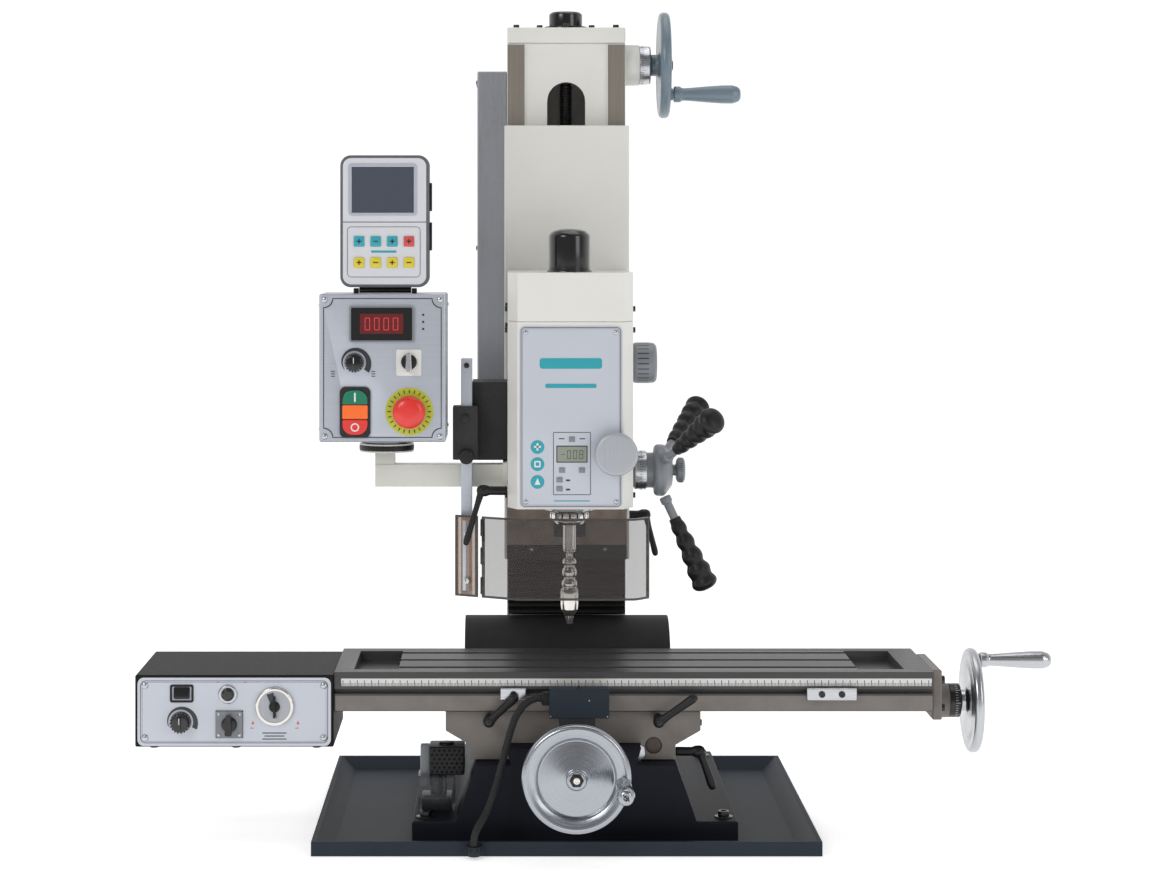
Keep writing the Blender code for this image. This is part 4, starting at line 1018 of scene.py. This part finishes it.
def depth_readout(face):
    film = ("Y", face - 1.25, face - 0.95)
    piece("depth_readout_outline", [(border, (-25, 28), (484.5, 573), *film, 0.9, 1.5),
        (plate, (-20.5, 23.5), (530, 554), "Y", face - 1.3, face - 0.95, 1)], INK, "head")
    piece("depth_readout_screen", [(plate, (-19, 22), (531.5, 552.5), "Y", face - 1.5, face - 1.25, 0.8)],
        LCD, "head")
    digits = [(segments, (-14 + 8.6 * k, 535.2), 5.6, 12.5, face - 1.7, value)
        for k, value in enumerate("-008")]
    piece("depth_readout_digits", digits, INK, "head")
    keys = ((1.5, 563), (-12.5, 519.5), (15.5, 519.5), (-16, 506), (-16, 493.5))
    buttons = [(block, (x - 4.2, x + 4.2), (face - 2.4, face - 0.95), (z - 3.8, z + 3.8), 0.8)
        for x, z in keys]
    piece("depth_readout_keys", buttons, GREY, "head")
    bars = [(plate, (-7, -1), (504 - 13 * i, 506.5 - 13 * i), *film, 0.6) for i in range(2)]
    bars += [(plate, (x, x + 8), (563, 564.4), *film, 0.4) for x in (-17, 12)]
    piece("depth_readout_marks", bars, INK, "head")


SEGMENTS = {"0": "abcdef", "8": "abcdefg", "2": "abged", "5": "afgcd", "-": "g", "1": "bc"}


def segments(bm, corner, width, height, y, value):
    """A digit of up to seven bars, its lower left corner at corner."""
    x, z = corner
    bar = width * 0.2
    half = height / 2
    left, right, full = (x, x + bar), (x + width - bar, x + width), (x, x + width)
    lower, upper = (z, z + half), (z + half, z + height)
    places = {"a": (full, (z + height - bar, z + height)), "d": (full, (z, z + bar)),
        "g": (full, (z + half - bar / 2, z + half + bar / 2)), "f": (left, upper), "e": (left, lower),
        "b": (right, upper), "c": (right, lower)}
    for letter in SEGMENTS[value]:
        u, v = places[letter]
        inset = bar * 0.18
        plate(bm, (u[0] + inset, u[1] - inset), (v[0] + inset, v[1] - inset), "Y", y, y + 0.22, bar * 0.25)


def knobs_and_hub():
    side = 89.3
    cap = rounded([(0, 34), (17, 34), (19, 36), (24.5, 36), (28.4, 32.5), (29.4, 27), (29.4, 6), (27, 0.5),
        (0, 0.5)], 2, 4)
    piece("gear_selector_cap", [(turned, cap, (side, -106, 666), RIGHT, 72)], GREY, "gear_selector",
        replaces=["gear_selector_knob"])
    # dark lines painted on the cap's side: painted shade standing in for the shade inside its grooves
    piece("gear_selector_groove_shade", [(tick_ring, (side, -106, 666), RIGHT, 29.3, 24, 8, 24, 1.6, 1)], INK,
        "gear_selector")
    disc = rounded([(0, 29), (26.6, 29), (29.4, 27.6), (30.3, 25.5), (30.3, 17.6), (28, 14.5), (9.5, 12.5),
        (9.5, 0.6), (0, 0.6)], 1.6, 4)
    piece("fine_feed_disc", [(turned, disc, (63, -196.3, 543.5), FRONT, 96)], PALE_GREY, "fine_feed",
        replaces=["fine_feed_knob"])
    axis = (side, -90, 510)
    hub = rounded([(0, 60), (8, 60), (22, 59.4), (34, 50.5), (37.3, 46.5), (37.3, 36.5), (34, 33),
        (25.4, 32.4), (25.4, 2.4), (21, 0.4), (0, 0.4)], 2.2, 4)
    piece("feed_hub_body", [(turned, hub, axis, RIGHT, 80)], GREY, "feed_hub", replaces=["feed_hub"])
    knob = rounded([(0, 78), (14, 78), (18, 75.4), (18, 68), (14, 65.2), (8, 64.8), (8, 59), (0, 59)], 1.4)
    piece("feed_hub_knob", [(turned, knob, axis, RIGHT, 56)], GREY, "feed_hub")
    # dark lines painted round the knob: painted shade standing in for the shade in its knurl
    piece("feed_hub_knurl_shade", [(tick_ring, axis, RIGHT, 18, 40, 68.5, 74.5, 0.8, 1)], INK, "feed_hub")
    piece("feed_hub_dial", [(turned, rounded([(24, 22), (28, 22), (28, 5), (24, 5)], 0.6), axis, RIGHT, 72,
        True)], STEEL, "feed_hub")
    piece("feed_hub_marks", [(tick_ring, axis, RIGHT, 28, 48, 12, 20, 0.6)], INK, "feed_hub")


def feed_levers():
    """Steel spokes with ribbed black grips, splayed outwards from the hub."""
    splay = math.radians(25)
    for name, angle in (("lower", -90), ("front", 150), ("rear", 30)):
        radial = Vector((0, math.cos(math.radians(angle)), math.sin(math.radians(angle))))
        along = radial * math.cos(splay) + Vector((math.sin(splay), 0, 0))
        root = Vector((137.5, -90, 510)) + radial * 37.6
        spoke = [(0, 44), (6.2, 44), (6.2, 12), (8.4, 10), (8.4, 1), (0, 1)]
        piece(f"feed_spoke_{name}", [(turned, rounded(spoke, 1.5), root, along, 32)], GREY, "feed_hub")
        grip = [(0, 148.3), (9, 147.6), (15, 145), (18.4, 141), (19.2, 137), (17.6, 132.5), (15.6, 128.5),
            (16.2, 124), (17.6, 119.5), (17, 114), (14, 109), (12.6, 106.5), (14, 102.5), (15.4, 98),
            (14.8, 91.5), (12, 85.5), (10.8, 82.5), (12.2, 78.5), (13.4, 74), (12.6, 68), (10.2, 62.5),
            (9.2, 60), (10.4, 56), (11.4, 52), (10.6, 46), (8.8, 41.5), (8.8, 36), (7.4, 34.8), (0, 34.8)]
        piece(f"feed_grip_{name}", [(turned, rounded(grip, 1.6, 3), root, along, 48)], BLACK_PLASTIC,
            "feed_hub", replaces=[f"feed_lever_{name}"], angle=70)


def spindle():
    y = -106
    quill = [(18, 453.5), (35.5, 455), (35.5, 711.8), (18, 711.8)][::-1]
    piece("quill_sleeve", [(turned, quill + [(17.2, 700), (17.2, 460)], (0, y, 0), UP, 80, True)], Z_STEEL,
        "quill", replaces=["quill"])
    nose = rounded([(0, 788), (11.4, 788), (11.4, 700), (15.8, 700), (15.8, 452.9), (22.4, 452.8),
        (22.6, 438), (20, 434.2), (14, 433.4), (9.4, 433), (9.4, 397.2), (0, 397.2)], 0.9)
    piece("spindle_nose", [(turned, nose, (0, y, 0), UP, 72)], CHROME, "spindle", replaces=["spindle"])
    piece("spindle_collars", [(turned, rounded([(0, 452), (27, 452), (28.4, 449), (28.4, 443), (25, 440),
        (0, 440)], 1), (0, y, 0), UP)], CHROME, "spindle")
    # dark steel strips painted round the collar: painted shade standing in for the shade inside its slots
    piece("spindle_flange_slot_shade", [(tick_ring, (0, y, 0), UP, 28.3, 16, 441, 451, 2.6, 1)], DARK_STEEL,
        "spindle")
    rings = [(0, 396.9), (8.8, 396.9), (8.8, 394.5), (5.4, 392), (4.6, 389), (4.6, 386.5), (8, 384.5),
        (10, 381.5), (10, 377.5), (7.6, 375), (7.2, 372.5), (9.8, 370), (10.8, 365), (10, 360), (7.8, 357.5),
        (7.8, 355), (10.6, 352.5), (11.4, 348.5), (10.8, 345), (9.6, 343), (12.6, 341), (13, 334),
        (12.8, 320), (12.4, 311), (9, 305), (6.4, 302.5), (4.6, 290), (0, 289)]
    piece("chuck_body", [(turned, rounded(rings, 0.9), (0, y, 0), UP, 64)], CHROME, "spindle",
        replaces=["drill_chuck"], angle=50)
    # dark steel strips painted round the chuck: painted shade standing in for the shade inside its flutes
    flute_shade = [(tick_ring, (0, y, 0), UP, 12.8, 20, 331, 340, 0.9, 1)]
    piece("chuck_flute_shade", flute_shade, DARK_STEEL, "spindle")
    refined("spindle_gear", STEEL, 0.6, 2)
    refined("motor_rotor", DARK_STEEL, 0.6, 2)


# Control boxes

def control_arm():
    refined("control_arm", CREAM, 2.5)
    disc = rounded([(0, 12), (37, 12), (39.3, 9.5), (39.3, 2.5), (37, 0), (0, 0)], 1)
    piece("swivel_disc", [(turned, disc, (-263, -107, 539), UP, 80)], BLACK_PLASTIC, "head")
    piece("arm_flange_screws", [(cap_screw, (-92.5, y, 484), (0, 0, -1), 3.4, 3) for y in (-128, -86)],
        DARK_STEEL, "head")


def notched(u, v, notch, steps=5):
    """A rectangle's outline with a round notch cut out of each corner."""
    (left, right), (low, high) = u, v
    points = []
    for x, y, start in ((right, high, 180), (left, high, 270), (left, low, 0), (right, low, 90)):
        arc = []
        for i in range(steps + 1):
            angle = math.radians(start + 90 * i / steps)
            arc.append((x + notch * math.cos(angle), y + notch * math.sin(angle)))
        points += arc[::-1]
    return points


def control_box():
    refined("control_box", SILVER, 2.0)
    face = -185.0
    line_outer = notched((-349, -182), (564, 761), 13)
    line_inner = notched((-347.8, -183.2), (565.2, 759.8), 13)
    piece("control_border", [(prism, line_outer, "Y", face - 0.45, face - 0.1, line_inner)], INK,
        "control_box")
    screws = [(pan_screw, (x, face, z), FRONT, 4.6) for x in (-347, -184) for z in (566, 759)]
    piece("control_corner_screws", screws, STEEL, "control_box")
    piece("control_side_screws", [(pan_screw, (x, y, z), (math.copysign(1, x + 265), 0, 0), 3)
        for x in (-355, -176) for y in (-172, -80) for z in (575, 750)], STEEL, "control_box")
    rpm_window(face)
    speed_and_direction(face)
    start_and_stop(face)
    emergency_stop(face)


def rpm_window(face):
    body, slot = "control_box", "black_plastic"
    piece("rpm_bezel", [(plate, (-312, -221), (699, 750), "Y", face - 3.4, face - 0.2, 3)], GREY, body)
    piece("rpm_bezel_face", [(plate, (-309.5, -223.5), (701.5, 747.5), "Y", face - 4.2, face - 3.2, 2)],
        GLOSS_BLACK, body)
    piece("rpm_window", [(plate, (-297, -236), (711, 739), "Y", face - 4.5, face - 4.1, 1)], RED_WINDOW, body)
    digits = [(segments, (-290.5 + 13.2 * k, 715.5), 8.2, 18.5, face - 4.7, value)
        for k, value in enumerate("0000")]
    piece("rpm_digits", digits, DIGIT, body)
    marks = [(plate, (-209.5, -206.5), (736 - 10 * i, 739 - 10 * i), "Y", face - 0.45, face - 0.1, 0.5)
        for i in range(3)]
    piece("rpm_marks", marks, INK, body)


def speed_and_direction(face):
    piece("speed_arc", [(prism, wedge((-305, 670), 16.5, 25, 215, -35, 0.1), "Y", face - 0.45, face - 0.1)],
        INK, "control_box")
    ticks = [(plate, (x, x + 5.5), (z, z + 1.1), "Y", face - 0.45, face - 0.1, 0.3)
        for x in (-338, -281) for z in (657, 653.6, 650.2)]
    piece("speed_captions", ticks, INK, "control_box")
    knob_with_pointer("speed_cap", "speed_knob", "speed_knob", (-305, face - 0.3, 670), 14, 18, GLOSS_BLACK)
    piece("direction_plate", [(plate, (-246, -210.5), (651.5, 688.5), "Y", face - 1.4, face - 0.2, 2.5)],
        WHITE, "control_box")
    base = (-228, face - 0.3, 671)
    disc = rounded([(0, 7), (9, 7), (11, 5), (11.2, 1.4), (0, 1.4)], 1)
    piece("direction_body", [(turned, disc, base, FRONT, 48)], BLACK_PLASTIC, "direction_switch",
        replaces=["direction_switch"])
    outline = [(-231.6, 681), (-229.5, 684.5), (-226.5, 684.5), (-224.4, 681), (-223.6, 661),
        (-225.5, 657.4), (-230.5, 657.4), (-232.4, 661)]
    lever = piece("direction_lever", [(prism, outline, "Y", face - 18, face - 5)], STEEL, "direction_switch")
    soften(lever, 1.2, 3)


def start_and_stop(face):
    """A pill-shaped pair of buttons with a lamp between them."""
    outer = rounded_outline((-325.6, -282.4), (564.2, 635.8), 8, 6)
    inner = rounded_outline((-322.2, -285.8), (567.8, 632.2), 15, 6)
    piece("button_bezel", [(prism, outer, "Y", face - 3.0, face - 0.2, inner)], DARK_STEEL, "control_box")
    piece("lamp_lens", [(plate, (-321.8, -286.2), (591, 610), "Y", face - 4.6, face + 6, 1.5)], ORANGE,
        "control_box")
    for name, z, finish, slot in (("start_button", (611, 632), GREEN, "green_plastic"),
            ("stop_button", (568, 590), RED, "red_plastic")):
        top = name == "start_button"
        outline = rounded_outline((-321.8, -286.2), (z[0] + 0.4, z[1] - 0.4), 2, 6)
        wide = rounded_outline((-321.8, -286.2), (z[0] + 0.4, z[1] - 0.4), 14.5, 6)
        kept = wide[:14] + outline[14:] if top else outline[:14] + wide[14:]
        cap = [(prism, kept, "Y", face - 5, face + 4.6)]
        soften(piece(name + "_cap", cap, finish, name, replaces=[name]), 1.0, 2)
    piece("start_mark", [(plate, (-305.2, -302.8), (615, 628), "Y", face - 5.3, face - 4.9, 0.8)], WHITE_INK,
        "start_button")
    piece("stop_mark", [(turned, [(4.2, 0.3), (6, 0.3), (6, 0), (4.2, 0)], (-304, face - 4.95, 579), FRONT,
        40, True)], WHITE_INK, "stop_button")


def emergency_stop(face):
    base = (-227.5, face, 601)
    ring = rounded([(10.4, 1.2), (33, 1.2), (34, 0.1), (10.4, 0.1)], 0.4)
    piece("emergency_ring", [(turned, ring, base, FRONT, 80, True)], YELLOW_GREEN, "control_box")
    marks = [(tick_mark, base, 28.5, math.radians(k * 15)) for k in range(24)]
    piece("emergency_ring_marks", marks, INK, "control_box")
    stem = [(0, 35), (10, 34.8), (17, 33), (21.6, 29.6), (23.3, 25.6), (23.2, 21.6), (20, 18.6), (9.4, 18),
        (9.4, 0), (0, 0)]
    piece("emergency_mushroom", [(turned, rounded(stem, 2.4, 4), (-227.5, -176, 601), FRONT, 80)], RED,
        "emergency_stop", replaces=["emergency_stop"])


def tick_mark(bm, base, radius, angle):
    part = bmesh.new()
    block(part, (-0.8, 0.8), (-0.15, 0.15), (-2.4, 2.4), 0.1, 1)
    x, y, z = base
    place = to_frame((x + radius * math.cos(angle), y - 1.25, z + radius * math.sin(angle)))
    part.transform(Matrix.Translation(place) @ Matrix.Rotation(math.pi / 2 - angle, 4, "Y"))
    return merge(bm, part)


def dro():
    body = "dro"
    edge_grey = coloured("dro_edge_grey", rgb(92, 94, 100), 0.42, 0, 0.1, 20)
    shell = [(prism, rounded_outline((-326, -200), (776, 963), 15, 8), "Y", -173, -130.3)]
    soften(piece("dro_shell", shell, edge_grey, body, replaces=["dro_display"]), 2.5, 3)
    front_silver = coloured("dro_front_silver", rgb(208, 209, 214), 0.4, 0.1, 0.02, 60)
    front = [(prism, rounded_outline((-322, -204), (780, 959), 12, 8), "Y", -175, -172.9)]
    soften(piece("dro_front", front, front_silver, body), 1.2, 3)
    bezel = [(border, (-314, -217), (877, 951), "Y", -176.2, -174.9, 4.6, 5)]
    soften(piece("dro_screen_bezel", bezel, SILVER, body), 0.8, 2)
    piece("dro_screen", [(plate, (-310, -221), (881, 947), "Y", -175.6, -174.9, 2)], SCREEN, body)
    piece("dro_seam", [(plate, (-322, -204), (867.5, 869), "Y", -175.3, -174.9, 0.4),
        (border, (-316, -212), (790, 862), "Y", -175.4, -174.9, 1.0, 6)], GREY, body)
    key_rows = (((-299, -275.5, -252), 841, TEAL, "teal"), ((-228.5,), 841, KEY_RED, "red"),
        ((-299, -275.5, -252, -228.5), 811, YELLOW, "yellow"))
    for xs, z, finish, word in key_rows:
        keys = [(block, (x - 7.4, x + 7.4), (-177, -174.8), (z - 7.4, z + 7.4), 1.2) for x in xs]
        piece(f"dro_keys_{word}", keys, finish, body)
        signs = [(plate, (x - 3.6, x + 3.6), (z - 0.7, z + 0.9), "Y", -177.3, -176.9, 0.4) for x in xs]
        signs += [(plate, (x - 0.8, x + 0.8), (z - 3.4, z + 3.6), "Y", -177.3, -176.9, 0.4) for x in xs[::2]]
        piece(f"dro_signs_{word}", signs, INK, body)
    bars = [(plate, (-282, -246), (825, 828), "Y", -175.4, -174.9, 1.2)]
    piece("dro_key_bar", bars, TEAL, body)
    strips = [(block, (-200.4, -196.5), (-160, -144), z, 1) for z in ((884, 924), (828, 868))]
    piece("dro_connectors", strips, BLACK_PLASTIC, body)
    hinge = [(rod, (-300, -152, 771.8), (-226, -152, 771.8), 4.2), (block, (-298, -228), (-155, -149),
        (772, 778))]
    piece("dro_hinge", hinge, DARK_STEEL, body)
    piece("dro_hinge_blocks", [(block, x, (-157, -147), (767.2, 774.4), 1)
        for x in ((-308, -300.6), (-225.4, -218))], DARK_STEEL, "control_box")


# Guard

def guard():
    refined("guard_clamp", TEXTURED_BLACK, 1.2)
    knob = rounded([(0, 16), (8.6, 16), (10.4, 14), (10.4, 3), (9, 1), (0, 1)], 1)
    fluted = [(turned, knob, (-147.5, -149.5, 535), FRONT, 48)]
    piece("guard_knob", fluted, BLACK_PLASTIC, "head")
    piece("guard_clamp_screws", [(cap_screw, (-149, -152, 590), FRONT, 5, 4)], DARK_STEEL, "head")
    rail = [(block, (-155.5, -139.5), (-143, -127), (336, 674), 1.6, 3),
        (block, (-153, -143), (-160, -141), (345, 445), 1)]
    piece("guard_rail_bar", rail, SILVER, "guard_rail", replaces=["guard_rail"])
    holes = [(cap_screw, (-147.5, -143, z), FRONT, 4, 2.4) for z in (664, 366)]
    piece("guard_rail_screws", holes, DARK_STEEL, "guard_rail")
    plates(bent_sheet([(-163, -150), (-131.4, -168.3)], 0), "guard_bracket_sheet", "guard_rail", TAN)
    bolts = [(cap_screw, (-146, -164, z), (-0.5, -0.87, 0), 4.4, 3) for z in (360, 428)]
    piece("guard_bracket_bolts", bolts, STEEL, "guard_rail")
    line = [(-125, -172), (-73, -203), (90, -203), (110, -180)]
    plates(bent_sheet(line, 6), "guard_shield_sheet", "guard_shield", SMOKE, ["guard_shield"])
    hinge = [(rod, (-125, -172, z), (-125, -172, z + 24), 2.6, None, 20) for z in (342, 384, 424)]
    piece("guard_hinge", hinge, DARK_STEEL, "guard_shield")


def bent_sheet(line, corner):
    """The line with each corner replaced by a short curve."""
    out = [Vector(line[0])]
    for before, here, after in zip(line, line[1:], line[2:]):
        here, before, after = Vector(here), Vector(before), Vector(after)
        start = here + (before - here).normalized() * corner
        end = here + (after - here).normalized() * corner
        out += [start * (1 - t) ** 2 + here * 2 * t * (1 - t) + end * t * t for t in (i / 5 for i in range(6))]
    return out + [Vector(line[-1])]


def plates(line, name, body, material, replaces=()):
    """A clear sheet along a plan line, with darker polished edges."""
    sheet = bmesh.new()
    add_sheet(sheet, line, (337.6, 451.4), 2.6)
    piece(name, sheet, material, body, replaces=replaces)
    edges = bmesh.new()
    for z in ((337, 340), (449, 452)):
        add_sheet(edges, line, z, 3.0)
    for end, inner in ((line[0], line[1]), (line[-1], line[-2])):
        add_sheet(edges, [end, end + (inner - end).normalized() * 3.6], (340, 449), 3.2)
    piece(name + "_edges", edges, SMOKE_EDGE, body)


def add_sheet(bm, line, z, thickness):
    sides = ([], [])
    for i, here in enumerate(line):
        along = (line[min(i + 1, len(line) - 1)] - line[max(i - 1, 0)]).normalized()
        for side, sign in zip(sides, (1, -1)):
            side.append((here.x - sign * along.y * thickness / 2, here.y + sign * along.x * thickness / 2))
    return prism(bm, sides[0] + sides[1][::-1], "Z", *z)


def head_underside():
    """The brown plate and its dark window behind the chuck, seen through the guard, and the curtain's screws."""
    brown = coloured("brown_bare_casting", rgb(138, 124, 113), 0.6, 0, 0.25, 18, 1.0, 0.1)
    piece("slide_lower_face", [(plate, (-90, 90), (384, 443), "Y", 58.6, 59.8, 2)], brown, "head")
    piece("slide_lower_window", [(plate, (-20, 28), (396, 437), "Y", 57.8, 58.7, 1.5)], INK, "head")
    piece("slide_lower_bands", [(plate, (-90, 90), z, "Y", 58.4, 59.8, 1)
        for z in ((362.5, 384), (443, 462))], RUBBER, "head")
    piece("curtain_screws", [(pan_screw, (x, 58.4, 377), FRONT, 3) for x in (-53, 57)], STEEL, "head")


camera()
floor()
lights()
conduit()
rear_way_sheet()
head_curtain()
base()
pump()
column()
z_wheel()
saddle()
levers()
table()
x_wheel()
y_wheel()
feed_box()
head()
knobs_and_hub()
feed_levers()
spindle()
control_arm()
control_box()
dro()
guard()
head_underside()


def corners(box):
    return [[float(value) for value in corner] for corner in box]
